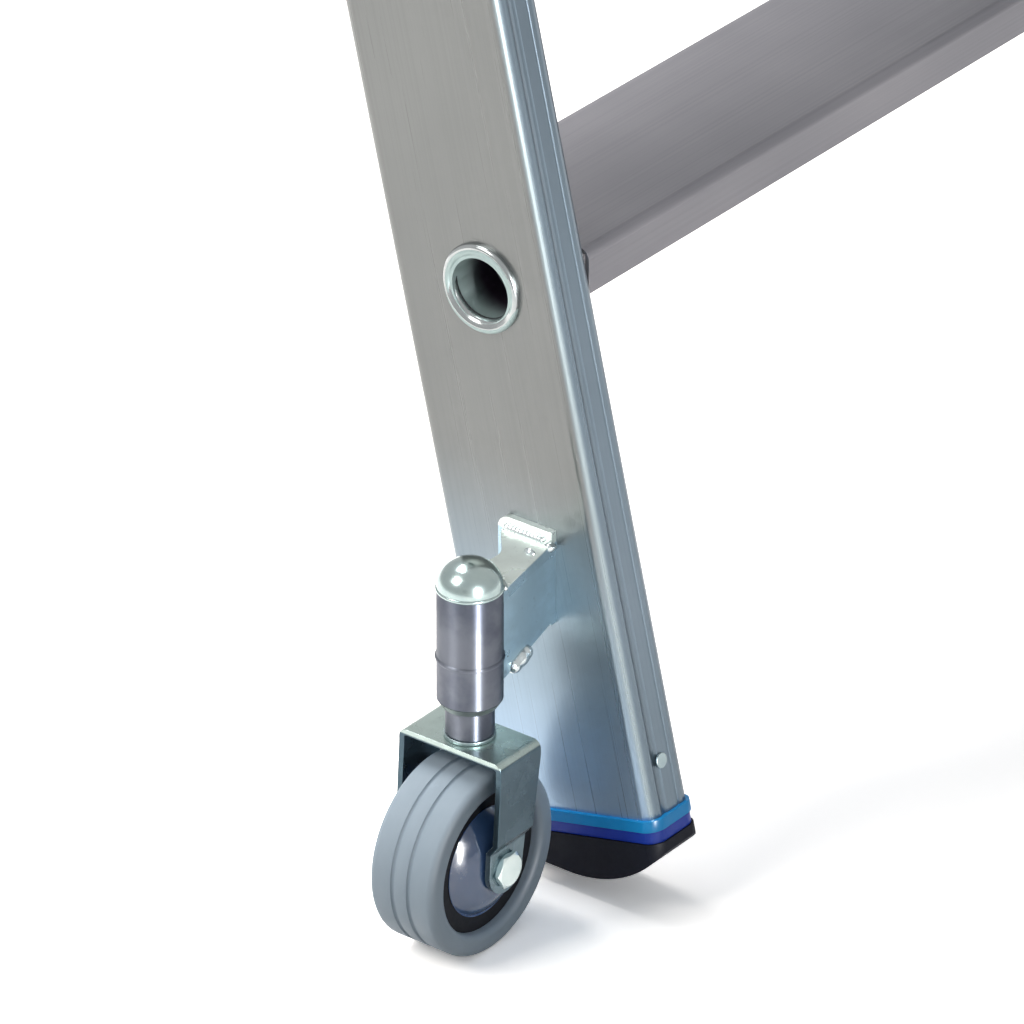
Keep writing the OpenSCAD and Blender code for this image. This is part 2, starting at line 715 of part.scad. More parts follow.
// Wheel: rim on the sleeve, a dome on each side of it and a bonded tyre
module wheel_rim() {
    bore = sleeve_r + run_fit;
    color([0.04, 0.04, 0.05]) at_axle() rotate_extrude() {
        translate([bore, -hub_len / 2]) square([hub_r - bore, hub_len]);
        translate([bore, -disc_w / 2]) square([rim_r - bore, disc_w]);
        translate([dome_r - dome_seat, -rim_w / 2]) square([rim_r - dome_r + dome_seat, rim_w]);
    }
}
module hub_caps() {
    // The dome's profile is an arc through its edge and its shoulder at the sleeve
    eye = sleeve_r + dome_gap;
    reach = dome_r - eye;
    arc_r = (reach * reach + dome_h * dome_h) / (2 * dome_h);
    color([0.6, 0.61, 0.66]) at_axle() for (s = [0, 1]) mirror([0, 0, s])
        translate([0, 0, rim_w / 2]) rotate_extrude() intersection() {
            translate([eye, 0]) square([reach, dome_h]);
            translate([eye, dome_h - arc_r]) difference() {
                circle(arc_r, $fn = 96);
                circle(arc_r - dome_wall, $fn = 96);
            }
        }
}
module tyre() {
    inner_r = rim_r + tyre_fit;
    side = tyre_w / 2;
    wall = wheel_r - inner_r;
    lip = min(lip_r, wall / 3);
    shoulder = min(shoulder_r, wall - lip);
    color([0.62, 0.68, 0.72]) at_axle() rotate_extrude() difference() {
        polygon(concat(
            arc([inner_r + lip, lip - side], lip, 180, 270, 6),
            arc([wheel_r - shoulder, shoulder - side], shoulder, 270, 360, 10),
            arc([wheel_r - shoulder, side - shoulder], shoulder, 0, 90, 10),
            arc([inner_r + lip, side - lip], lip, 90, 180, 6)
        ));
        for (s = [-1, 1]) translate([wheel_r, s * tyre_groove_y]) circle(tyre_groove_r, $fn = 32);
    }
}

// Rail hook: a strap bolted inside the stile, and a throat that opens down over the rail
module throat() {
    deep = throat_leg + hook_r;
    polygon(concat(arc([0, 0], throat_r, 0, 180, 48), [[-throat_r, -deep], [throat_r, -deep]]));
}
module hook_shape() {
    low = off_stile(stile_d / 2, stile_len - hook_bolt_top - hook_bolt_gap);
    high = off_stile(stile_d / 2, stile_len - hook_bolt_top);
    // The rim runs round the throat to where the arm covers it
    rim_end = 240;
    difference() {
        union() {
            bar(low, high, strap_w);
            bar(high, rail_at, arm_over_w);
            translate(rail_at) polygon(concat(
                arc([0, 0], hook_r, 0, rim_end, 64), [[0, -throat_leg], [hook_r, -throat_leg]]
            ));
        }
        translate(rail_at) throat();
    }
}
module rail_hook() {
    color([0.66, 0.68, 0.7]) difference() {
        translate([stile_t, 0, 0]) rotate([90, 0, 90]) linear_extrude(hook_t) hook_shape();
        hook_bolt_places() rod_x(hook_bolt_r + rivet_fit, stile_t - cut, stile_t + hook_t + cut);
    }
}
// Liner: a plastic saddle in the throat, with flanges on both sides of the hook plate
module liner_shape(r) {
    leg = throat_leg - liner_short;
    difference() {
        polygon(concat(arc([0, 0], r, 0, 180, 48), [[-r, -leg], [r, -leg]]));
        circle(seat_r);
        translate([-seat_r, -leg - cut]) square([2 * seat_r, leg + cut]);
    }
}
module hook_liner() {
    color([0.12, 0.12, 0.13]) translate([hook_mid, rail_y, rail_z]) rotate([90, 0, 90]) {
        translate([0, 0, -liner_w / 2]) linear_extrude(liner_w) liner_shape(liner_r);
        for (s = [0, 1]) mirror([0, 0, s]) translate([0, 0, hook_t / 2 + liner_gap])
            linear_extrude(liner_w / 2 - hook_t / 2 - liner_gap) liner_shape(throat_r + liner_flange);
    }
}
module hook_bolts() {
    color([0.8, 0.81, 0.82]) hook_bolt_places() {
        rod_x(hook_bolt_r, -hook_nut_h - thread_out, stile_t + hook_t + cut);
        translate([stile_t + hook_t, 0, 0]) rotate([0, 90, 0]) hex(hex_af, hook_head_h);
    }
}
module hook_nuts() {
    color([0.8, 0.81, 0.82]) hook_bolt_places() translate([-hook_nut_h, 0, 0]) difference() {
        rotate([0, 90, 0]) hex(hex_af, hook_nut_h);
        rod_x(hook_bolt_r, -cut, hook_nut_h + cut);
    }
}

left() stile();  // left_stile
right() stile();  // right_stile
tread(1);  // tread_1
tread(2);  // tread_2
tread(3);  // tread_3
tread(4);  // tread_4
tread(5);  // tread_5
tread(6);  // tread_6
tread(7);  // tread_7
left() foot_cap();  // left_foot_cap
right() foot_cap();  // right_foot_cap
left() foot_sole();  // left_foot_sole
right() foot_sole();  // right_foot_sole
left() foot_pin();  // left_foot_pin
right() foot_pin();  // right_foot_pin
left() top_cap();  // left_top_cap
right() top_cap();  // right_top_cap
left() rail_hook();  // left_rail_hook
right() rail_hook();  // right_rail_hook
left() hook_liner();  // left_hook_liner
right() hook_liner();  // right_hook_liner
union() { left() hook_bolts(); right() hook_bolts(); }
union() { left() hook_nuts(); right() hook_nuts(); }
left() castor_bracket();  // left_castor_bracket
right() castor_bracket();  // right_castor_bracket
left() bracket_rivets();  // left_bracket_rivets
right() bracket_rivets();  // right_bracket_rivets
left() guide_tube();  // left_guide_tube
right() guide_tube();  // right_guide_tube
left() guide_bush();  // left_guide_bush
right() guide_bush();  // right_guide_bush
left() guide_cap();  // left_guide_cap
right() guide_cap();  // right_guide_cap
left() plunger();  // left_plunger
right() plunger();  // right_plunger
left() castor_spring();  // left_castor_spring
right() castor_spring();  // right_castor_spring
left() swivel_washer();  // left_swivel_washer
right() swivel_washer();  // right_swivel_washer
left() castor_fork();  // left_castor_fork
right() castor_fork();  // right_castor_fork
left() axle_bolt();  // left_axle_bolt
right() axle_bolt();  // right_axle_bolt
left() axle_nut();  // left_axle_nut
right() axle_nut();  // right_axle_nut
left() axle_sleeve();  // left_axle_sleeve
right() axle_sleeve();  // right_axle_sleeve
left() wheel_rim();  // left_wheel_rim
right() wheel_rim();  // right_wheel_rim
left() hub_caps();  // left_hub_caps
right() hub_caps();  // right_hub_caps
left() tyre();  // left_tyre
right() tyre();  // right_tyre
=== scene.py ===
# The dressed model of a rolling shelf ladder with sprung castors.
# The scene's lengths are in metres. Sizes, levels and profiles of the parts are in mm, as in the
# CAD, and mm() and put() turn them into metres. Levels are counted from the floor.
import json
import math

import bmesh
import bpy
from mathutils import Matrix, Vector


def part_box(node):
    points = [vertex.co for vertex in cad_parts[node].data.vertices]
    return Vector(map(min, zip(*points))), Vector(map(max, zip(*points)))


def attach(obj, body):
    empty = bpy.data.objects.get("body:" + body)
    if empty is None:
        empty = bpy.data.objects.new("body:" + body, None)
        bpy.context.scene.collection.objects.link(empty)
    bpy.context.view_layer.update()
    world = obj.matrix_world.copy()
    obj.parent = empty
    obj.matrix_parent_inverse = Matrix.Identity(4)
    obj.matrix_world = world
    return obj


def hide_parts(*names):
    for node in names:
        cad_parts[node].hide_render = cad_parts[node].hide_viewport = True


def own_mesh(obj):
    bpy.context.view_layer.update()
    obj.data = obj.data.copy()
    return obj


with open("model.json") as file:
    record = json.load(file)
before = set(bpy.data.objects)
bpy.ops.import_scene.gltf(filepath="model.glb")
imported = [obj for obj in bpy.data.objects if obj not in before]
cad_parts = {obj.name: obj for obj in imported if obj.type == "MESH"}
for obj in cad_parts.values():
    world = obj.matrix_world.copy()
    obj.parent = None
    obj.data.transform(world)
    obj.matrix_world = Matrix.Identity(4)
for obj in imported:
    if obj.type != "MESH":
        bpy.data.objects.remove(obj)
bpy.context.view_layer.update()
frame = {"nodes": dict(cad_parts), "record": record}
nodes = frame["nodes"]

SIDES = ("left", "right")
FRAME_BODY = "ladder_frame"


def mm(value):
    return value / 1000


# The floor, and the lower front corner of the left stile, from which the CAD's sizes are counted
FLOOR_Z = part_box("left_tyre")[0].z
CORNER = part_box("left_stile")[0]
HALF_W = -CORNER.x
LEAN = math.radians(76.8)
UPWARDS = (0, 0, 1)
UP_STILE = (0, math.cos(LEAN), math.sin(LEAN))
INTO_STILE = (0, math.sin(LEAN), -math.cos(LEAN))
END_Z = 42.5


def put(side, x, y, z):
    """A point in mm: x inwards from a stile's outer face, y back from its corner, z above floor."""
    out = -1 if side == "left" else 1
    return Vector((out * (HALF_W - mm(x)), CORNER.y + mm(y), FLOOR_Z + mm(z)))


def above_floor(low, high):
    """Range of z between two levels."""
    return FLOOR_Z + mm(low), FLOOR_Z + mm(high)


def from_side(inner, outer):
    """Range of |x| between two depths below the stiles' outer faces."""
    return HALF_W - mm(inner), HALF_W - mm(outer)


def from_corner(direction, low, high):
    """Range of distances along a direction, counted from the stiles' lower front corner."""
    corner = Vector((0, CORNER.y, FLOOR_Z + mm(END_Z))).dot(Vector(direction))
    return corner + mm(low), corner + mm(high)


# The castor, as in the CAD: its axes, wheel, levels, guide, plunger, spring, axle and bracket
AXIS_OUT, AXIS_BACK, TRAIL = 48.5, 49, 5
WHEEL_R, TYRE_W, RIM_R, RIM_W = 37.5, 30, 28.85, 22
GROOVE_R, GROOVE_AT, SHOULDER_R, LIP_R = 1, 3.7, 3, 2.5
DOME_R, DOME_H, DOME_EYE, DOME_WALL = 22, 7, 6.4, 1
CROWN_Z, SHOULDER_Z, MOUTH_Z, TUBE_BOT, TUBE_TOP = 83.3, 87.4, 99.1, 102.1, 147.6
SEAT_Z, HEAD_Z, PLUNGER_TOP, PILOT_TOP = 142.6, 120.2, 122.7, 128.7
GUIDE_R, GUIDE_IN, PLUNGER_R, BUSH_BORE, PIN_R = 12.5, 11, 9.25, 9.3, 5
SPRING_R, WIRE_R, SPRING_TURNS, SPRING_GAP = 7, 0.9, 4, 0.3
AXLE_W, AXLE_R, HEX_AF, HEAD_H, NUT_H, THREAD_OUT = 42, 4, 13, 2.5, 5, 1.5
BASE_T, WEB_FRONT, WEB_T, BASE_BOT, ARM_H = 3, 46, 3, 112.6, 5


# Materials
# Noises by name: scale per metre, detail, roughness, and stretch along x, y and z
PLAIN, EVEN = 0.55, (1, 1, 1)
NOISES = {
    "tint": (9, 2, PLAIN, EVEN),
    "lines along x": (1, 4, 0.6, (4, 900, 900)),
    "lines along z": (1, 4, 0.6, (900, 900, 4)),
    "satin": (420, 2, PLAIN, EVEN),
    "clouds": (45, 4, 0.6, EVEN),
    "spots": (210, 5, 0.7, EVEN),
    "marks": (1, 3, 0.6, (30, 30, 2200)),
    "plating": (260, 3, PLAIN, EVEN),
    "scuffs": (130, 6, 0.75, EVEN),
    "flow": (28, 4, 0.6, (1, 1, 0.4)),
    "even flow": (28, 4, PLAIN, EVEN),
    "grain": (900, 2, PLAIN, EVEN),
    "coarse grain": (700, 2, PLAIN, EVEN),
    "floor": (3, 2, PLAIN, EVEN),
}
# Parts of a value's range over which something fades in
WHOLE, FULL, BROAD, FLOWING, MIDDLE = (0, 1), (0.2, 0.8), (0.25, 0.75), (0.3, 0.7), (0.35, 0.65)
LINES_OVER, SPOTS_OVER, SCUFFS_OVER = (0.4, 0.7), (0.6, 0.72), (0.6, 0.78)
# How much of a mark shows at most, and its tone: a share of the finish's dark one, or for a pale
# patch a gain on the light one and a little more
LINE_SHARE, SPOT_SHARE, SCUFF_SHARE = 0.16, 0.3, 0.35
LINE_SHADE, SPOT_SHADE = 0.75, 0.6
PALE_GAIN, PALE_ADD = 1.3, 0.008
# How much rougher a surface is in its clouds and scuffs
CLOUD_ROUGH, SCUFF_ROUGH, COAT_ROUGH = 0.08, 0.14, 0.1
# Depths of the relief in metres, and its strengths
FINE_DEPTH, LINE_DEPTH, MOULD_DEPTH, FLOW_DEPTH = mm(0.01), mm(0.02), mm(0.03), mm(0.08)
MOULD_RELIEF, CAP_RELIEF, FLOW_RELIEF, BAND_RELIEF = 0.4, 0.35, 0.1, 0.2
TURNED_MARKS, PLAIN_MARKS = 0.15, 0.02
QUARTER_TURN = 0.25
# Sockets of a Mix node for colours
MIX_FACTOR, MIX_A, MIX_B, MIX_RESULT = 0, 6, 7, 2


class Look:
    """A procedural material under construction."""

    def __init__(self, name, turn=(0, 0, 0)):
        self.material = bpy.data.materials.new(name)
        self.material.use_nodes = True
        self.tree = self.material.node_tree
        self.shader = self.tree.nodes["Principled BSDF"]
        self.coords = self.add("ShaderNodeTexCoord").outputs["Object"]
        mapping = self.add("ShaderNodeMapping")
        mapping.inputs["Rotation"].default_value = turn
        self.link(self.coords, mapping.inputs["Vector"])
        self.place = mapping.outputs["Vector"]

    def add(self, kind, **values):
        node = self.tree.nodes.new(kind)
        for key, value in values.items():
            setattr(node, key, value)
        return node

    def link(self, a, b):
        self.tree.links.new(a, b)

    def feed(self, socket, value):
        """Gives a socket a number, a colour or what another socket puts out."""
        if isinstance(value, (int, float)):
            socket.default_value = value
        elif isinstance(value, tuple):
            socket.default_value = (*value, 1)
        else:
            self.link(value, socket)

    def colour(self, value):
        self.link(value, self.shader.inputs["Base Color"])

    def rough(self, value):
        self.link(value, self.shader.inputs["Roughness"])

    def set(self, **values):
        for key, value in values.items():
            self.shader.inputs[key.replace("_", " ")].default_value = value

    def noise(self, name):
        scale, detail, rough, stretch = NOISES[name]
        mapping = self.add("ShaderNodeMapping")
        mapping.inputs["Scale"].default_value = stretch
        self.link(self.place, mapping.inputs["Vector"])
        node = self.add("ShaderNodeTexNoise")
        node.inputs["Scale"].default_value = scale
        node.inputs["Detail"].default_value = detail
        node.inputs["Roughness"].default_value = rough
        self.link(mapping.outputs["Vector"], node.inputs["Vector"])
        return node.outputs["Fac"]

    def along(self, direction):
        """Distance of a point from the frame's origin along a direction."""
        node = self.add("ShaderNodeVectorMath", operation="DOT_PRODUCT")
        node.inputs[1].default_value = direction
        self.link(self.coords, node.inputs[0])
        return node.outputs["Value"]

    def outwards(self):
        """Distance of a point from the ladder's middle plane."""
        parts = self.add("ShaderNodeSeparateXYZ")
        self.link(self.coords, parts.inputs[0])
        return self.math("ABSOLUTE", parts.outputs["X"])

    def spread(self, value, to, over=MIDDLE):
        """A value that eases from one end of a range to the other as another passes its own."""
        node = self.add("ShaderNodeMapRange", interpolation_type="SMOOTHSTEP")
        node.inputs["From Min"].default_value, node.inputs["From Max"].default_value = over
        node.inputs["To Min"].default_value, node.inputs["To Max"].default_value = to
        self.link(value, node.inputs["Value"])
        return node.outputs["Result"]

    def rise(self, value, over=MIDDLE):
        return self.spread(value, (0, 1), over)

    def fade(self, value, over):
        return self.spread(value, (1, 0), over)

    def math(self, operation, *values):
        node = self.add("ShaderNodeMath", operation=operation)
        for socket, value in zip(node.inputs, values):
            self.feed(socket, value)
        return node.outputs[0]

    def blend(self, factor, a, b):
        node = self.add("ShaderNodeMix", data_type="RGBA")
        for socket, value in ((MIX_FACTOR, factor), (MIX_A, a), (MIX_B, b)):
            self.feed(node.inputs[socket], value)
        return node.outputs[MIX_RESULT]

    def bump(self, layers):
        """Relief from layers of (height, depth in metres, strength)."""
        normal = None
        for height, depth, strength in layers:
            node = self.add("ShaderNodeBump")
            node.inputs["Distance"].default_value = depth
            node.inputs["Strength"].default_value = strength
            self.link(height, node.inputs["Height"])
            if normal:
                self.link(normal, node.inputs["Normal"])
            normal = node.outputs["Normal"]
        self.link(normal, self.shader.inputs["Normal"])

    def turned(self, amount):
        """Fine turning marks round the piece's upright axis, which draw a highlight along it."""
        tangent = self.add("ShaderNodeTangent", direction_type="RADIAL", axis="Z")
        self.link(tangent.outputs["Tangent"], self.shader.inputs["Tangent"])
        self.set(Anisotropic=amount, Anisotropic_Rotation=QUARTER_TURN)


def shade(colour, factor):
    return tuple(min(1, c * factor) for c in colour)


# Light and dark tones of each finish
TONES = {
    "stile warm": ((0.190, 0.197, 0.193), (0.168, 0.175, 0.172)),
    # Painted bluish reflection on the stiles' outer faces near the floor, and painted light lower
    # still
    "stile foot painted reflection": ((0.280, 0.362, 0.425), (0.240, 0.316, 0.376)),
    "stile toe painted light": ((0.390, 0.515, 0.650), (0.335, 0.455, 0.585)),
    # Painted cool shade on the stiles' narrow front faces
    "stile narrow painted shade": ((0.190, 0.245, 0.295), (0.158, 0.210, 0.254)),
    "tread": ((0.300, 0.290, 0.310), (0.235, 0.230, 0.250)),
    "hook": ((0.42, 0.44, 0.46), (0.35, 0.37, 0.39)),
    "cap rim": ((0.008, 0.400, 0.900), (0.005, 0.340, 0.800)),
    # Painted shade: the foot cap's dark blue below its step
    "cap low painted shade": ((0.010, 0.062, 0.560), (0.007, 0.040, 0.430)),
    "zinc_steel": ((0.40, 0.48, 0.49), (0.29, 0.37, 0.39)),
    "bright_steel": ((0.170, 0.184, 0.216), (0.118, 0.132, 0.168)),
    "spring_steel": ((0.30, 0.31, 0.33), (0.2, 0.21, 0.22)),
    "flare_polish": ((0.40, 0.42, 0.42), (0.32, 0.345, 0.35)),
    "weld_metal": ((0.66, 0.71, 0.71), (0.48, 0.54, 0.56)),
    "cap_plating": ((0.43, 0.51, 0.49), (0.33, 0.41, 0.41)),
    # Painted glare: the bolt's zinc plating raised almost to white
    "bolt_plating_painted_glare": ((0.82, 0.92, 0.89), (0.70, 0.81, 0.79)),
    "black_rubber": ((0.006, 0.008, 0.017), (0.003, 0.004, 0.010)),
    "grey_rubber": ((0.370, 0.440, 0.500), (0.315, 0.385, 0.445)),
    "black_plastic": ((0.002, 0.004, 0.009), (0.001, 0.002, 0.005)),
    "hub_plastic": ((0.070, 0.148, 0.320), (0.050, 0.108, 0.250)),
    "bush_plastic": ((0.24, 0.29, 0.28), (0.18, 0.22, 0.22)),
}
# Painted highlight along the stiles' front outer corner
CORNER_HIGHLIGHT_TONE = (0.36, 0.425, 0.435)
# Painted shade deep in the treads' bores, and painted light on their walls near the mouths
BORE_PAINTED_SHADE, MOUTH_PAINTED_LIGHT = (0.035, 0.022, 0.038), (0.36, 0.45, 0.44)
BAND_SPOT_TONE = (0.08, 0.1, 0.11)

# The stiles' painted reflection, light, shade and highlight
# Where the stiles' tones change, in mm: levels, depths below the outer faces and behind the front
PAINTED_TOE_FADE, PAINTED_FOOT_FADE = (45, 100), (90, 180)
OUTER_FACE, FRONT_FACE = (4, 1), (0.5, 3.5)
CORNER_HIGHLIGHT_OUT, CORNER_HIGHLIGHT_BACK = (3.2, 0.8), (0.8, 3.0)
# Where the treads' tubes begin inside the stiles, and where painted light brightens their bores
TUBE_FROM, MOUTH_FROM = (23.8, 23.2), (17, 3)
# The foot cap's step, up the stile from its corner, below which its blue is painted shade
CAP_STEP = (-4.9, -4.4)


def drawn(look, tones, lines):
    """Colour of an extrusion: soft clouds, and die lines along its length."""
    light, dark = TONES[tones]
    colour = look.blend(look.rise(look.noise("tint"), BROAD), light, dark)
    share = look.spread(lines, (0, LINE_SHARE), LINES_OVER)
    return look.blend(share, colour, shade(dark, LINE_SHADE))


def satin(look, lines, rough, relief, grain, metallic):
    """Finish of an extrusion: roughness and relief along its die lines, and a fine grain."""
    look.rough(look.spread(lines, rough, FULL))
    look.bump([(lines, LINE_DEPTH, relief), (look.noise("satin"), FINE_DEPTH, grain)])
    look.set(Metallic=metallic)
    return look.material


def stile_colour(look, lines):
    """Warm grey above; painted cool shade on the narrow faces, painted bluish reflection and
    painted light near the floor, and a painted highlight on the front corner.
    """
    up, out, back = look.along(UPWARDS), look.outwards(), look.along(INTO_STILE)
    # Near the floor the outer faces take a painted bluish reflection, and lower still painted light
    toe = look.fade(up, above_floor(*PAINTED_TOE_FADE))
    foot = look.blend(toe, drawn(look, "stile foot painted reflection", lines), drawn(look, "stile toe painted light", lines))
    outer = look.rise(out, from_side(*OUTER_FACE))
    low = look.math("MULTIPLY", look.fade(up, above_floor(*PAINTED_FOOT_FADE)), outer)
    wide = look.blend(low, drawn(look, "stile warm", lines), foot)
    # The narrow front faces take a painted cool shade
    front = look.fade(back, from_corner(INTO_STILE, *FRONT_FACE))
    colour = look.blend(front, wide, drawn(look, "stile narrow painted shade", lines))
    # A painted highlight along the front corner
    outer = look.rise(out, from_side(*CORNER_HIGHLIGHT_OUT))
    near = look.fade(back, from_corner(INTO_STILE, *CORNER_HIGHLIGHT_BACK))
    return look.blend(look.math("MULTIPLY", outer, near), colour, CORNER_HIGHLIGHT_TONE)


def stile_metal():
    """Anodised stile, with its die lines along the lean."""
    look = Look("stile_aluminium", (math.pi / 2 - LEAN, 0, 0))
    lines = look.noise("lines along z")
    look.colour(stile_colour(look, lines))
    return satin(look, lines, rough=(0.26, 0.34), relief=0.22, grain=0.06, metallic=0.6)


def tread_metal():
    """Satin tread, with painted shade deep in its tube's bore and painted light at the mouths."""
    look = Look("tread_aluminium")
    lines = look.noise("lines along x")
    out = look.outwards()
    bore = look.blend(look.rise(out, from_side(*MOUTH_FROM)), BORE_PAINTED_SHADE, MOUTH_PAINTED_LIGHT)
    inside = look.rise(out, from_side(*TUBE_FROM))
    look.colour(look.blend(inside, drawn(look, "tread", lines), bore))
    return satin(look, lines, rough=(0.42, 0.52), relief=0.25, grain=0.08, metallic=0.5)


def hook_plate():
    look = Look("hook_metal")
    lines = look.noise("lines along z")
    look.colour(drawn(look, "hook", lines))
    return satin(look, lines, rough=(0.35, 0.45), relief=0.3, grain=0.15, metallic=0.7)


def plated(name, metallic, rough, turned=0.0, grain=0.25):
    """Zinc or chrome plating: clouded tone, fine grain and small dull spots."""
    light, dark = TONES[name]
    look = Look(name)
    clouds = look.noise("clouds")
    spots = look.spread(look.noise("spots"), (0, SPOT_SHARE), SPOTS_OVER)
    colour = look.blend(look.rise(clouds), light, dark)
    look.colour(look.blend(spots, colour, shade(dark, SPOT_SHADE)))
    look.rough(look.spread(clouds, (rough, rough + CLOUD_ROUGH)))
    marks = TURNED_MARKS if turned else PLAIN_MARKS
    look.bump([
        (look.noise("plating"), LINE_DEPTH, grain),
        (look.noise("marks"), FINE_DEPTH, marks),
    ])
    look.set(Metallic=metallic)
    if turned:
        look.turned(turned)
    return look.material


# Painted light and shade on plating, in bands from below: level from which each holds, colour,
# share in its clouds
PAINTED_BANDS = {
    # Fork: painted lighter lower end below the leg's joggle, leg painted dark as shade, crown top
    # painted light
    "fork_plating_painted_light_and_shade": [
        (0, (0.155, 0.215, 0.245), 0.78),
        (47, (0.066, 0.106, 0.132), 0.82),
        (84, (0.44, 0.53, 0.50), 0.82),
    ],
    # Bracket: the arm's top face painted light
    "bracket_plating_painted_light": [(0, (0.425, 0.585, 0.680), 0.78), (147.2, (0.84, 0.91, 0.87), 0.82)],
}
BAND_EDGE = 0.4


def painted_bands(name, metallic, rough):
    """Plating with painted light and shade in bands by the height above the floor."""
    look = Look(name)
    clouds = look.noise("clouds")
    up = look.along(UPWARDS)
    colour = None
    for level, tone, share in PAINTED_BANDS[name]:
        band = look.blend(look.rise(clouds), tone, shade(tone, share))
        step = above_floor(level - BAND_EDGE, level + BAND_EDGE)
        colour = look.blend(look.rise(up, step), colour, band) if colour else band
    spots = look.spread(look.noise("spots"), (0, SPOT_SHARE), SPOTS_OVER)
    look.colour(look.blend(spots, colour, BAND_SPOT_TONE))
    look.rough(look.spread(clouds, (rough, rough + CLOUD_ROUGH)))
    look.bump([(look.noise("plating"), LINE_DEPTH, BAND_RELIEF)])
    look.set(Metallic=metallic)
    return look.material


def moulded_colour(look, tones):
    """Colour of a moulding: faint flow marks and pale rubbed patches."""
    light, dark = TONES[tones]
    colour = look.blend(look.rise(look.noise("flow"), FLOWING), light, dark)
    pale = tuple(min(1, c * PALE_GAIN + PALE_ADD) for c in light)
    share = look.spread(look.noise("scuffs"), (0, SCUFF_SHARE), SCUFFS_OVER)
    return look.blend(share, colour, pale)


def moulded(name, rough, grain="grain", depth=MOULD_DEPTH, specular=0.5, coat=0.0):
    """Moulded plastic or rubber with a fine texture."""
    look = Look(name)
    look.colour(moulded_colour(look, name))
    look.rough(look.spread(look.noise("scuffs"), (rough, rough + SCUFF_ROUGH)))
    look.bump([
        (look.noise(grain), depth, MOULD_RELIEF),
        (look.noise("flow"), FLOW_DEPTH, FLOW_RELIEF),
    ])
    look.set(Specular_IOR_Level=specular, Coat_Weight=coat, Coat_Roughness=COAT_ROUGH)
    return look.material


def cap_plastic(rough, specular):
    """Blue end caps: a bright rim on the stile, and below the foot cap's step a dark blue that is
    painted shade.
    """
    look = Look("blue_plastic")
    rim, low = moulded_colour(look, "cap rim"), moulded_colour(look, "cap low painted shade")
    step = look.fade(look.along(UP_STILE), from_corner(UP_STILE, *CAP_STEP))
    look.colour(look.blend(step, rim, low))
    look.rough(look.spread(look.noise("scuffs"), rough))
    look.bump([
        (look.noise("grain"), MOULD_DEPTH, CAP_RELIEF),
        (look.noise("even flow"), FLOW_DEPTH, FLOW_RELIEF),
    ])
    look.set(Specular_IOR_Level=specular)
    return look.material


MATERIALS = {
    "stile_aluminium": stile_metal(),
    "tread_aluminium": tread_metal(),
    "hook_metal": hook_plate(),
    "zinc_steel": plated("zinc_steel", metallic=0.85, rough=0.24),
    "bright_steel": plated("bright_steel", metallic=1.0, rough=0.42, turned=0.97),
    "spring_steel": plated("spring_steel", metallic=1.0, rough=0.35),
    "blue_plastic": cap_plastic(rough=(0.3, 0.42), specular=0.3),
    "black_rubber": moulded("black_rubber", rough=0.55, specular=0.12),
    "grey_rubber": moulded("grey_rubber", 0.5, "coarse grain", depth=mm(0.04), specular=0.3),
    "black_plastic": moulded("black_plastic", rough=0.5, specular=0.12),
    "hub_plastic": moulded("hub_plastic", rough=0.14, depth=FINE_DEPTH, coat=0.7),
    "bush_plastic": moulded("bush_plastic", rough=0.35),
}
FLARE = plated("flare_polish", metallic=0.85, rough=0.14, grain=0.5)
WELD = plated("weld_metal", metallic=0.9, rough=0.16)
DOMED = plated("cap_plating", metallic=1.0, rough=0.16)
# Bolt and nut: zinc plating raised almost to white, a painted glare
BOLT_PAINTED_GLARE = plated("bolt_plating_painted_glare", metallic=0.7, rough=0.2)
# The fork and bracket take plating with painted light and shade in bands
PAINTED_LIGHT_BY_KIND = {
    "castor_fork": painted_bands("fork_plating_painted_light_and_shade", metallic=0.85, rough=0.22),
    "castor_bracket": painted_bands("bracket_plating_painted_light", metallic=0.7, rough=0.26),
}
SLOT_OF = {s["node"]: s["material_slot"] for s in frame["record"]["subparts"]}


def paint(piece, material):
    piece.data.materials.clear()
    piece.data.materials.append(material)


# Helpers for meshes
SAME_POINT = mm(0.0005)
SMOOTH_ANGLE = math.radians(30)


def add_object(name, data):
    piece = bpy.data.objects.new(name, data)
    bpy.context.scene.collection.objects.link(piece)
    return piece


def add_mesh(name, mesh):
    """An object from a bmesh, which is used up."""
    data = bpy.data.meshes.new(name)
    mesh.to_mesh(data)
    mesh.free()
    return add_object(name, data)


def smooth(piece):
    piece.data.polygons.foreach_set("use_smooth", [True] * len(piece.data.polygons))
    piece.data.set_sharp_from_angle(angle=SMOOTH_ANGLE)


def make(name, mesh, body, slot, replaced=(), material=None):
    """A new piece: it rides on a body, takes a slot's finish and may stand for nodes."""
    bmesh.ops.remove_doubles(mesh, verts=mesh.verts, dist=SAME_POINT)
    bmesh.ops.recalc_face_normals(mesh, faces=mesh.faces)
    piece = add_mesh(name, mesh)
    smooth(piece)
    paint(piece, material or MATERIALS[slot])
    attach(piece, body)
    if replaced:
        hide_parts(*replaced)
    return piece


def arc(x, y, r, start, end, steps):
    """Points (x, y) along an arc, from one angle to another in degrees."""
    angles = [math.radians(start + (end - start) * k / steps) for k in range(steps + 1)]
    return [(x + r * math.cos(a), y + r * math.sin(a)) for a in angles]


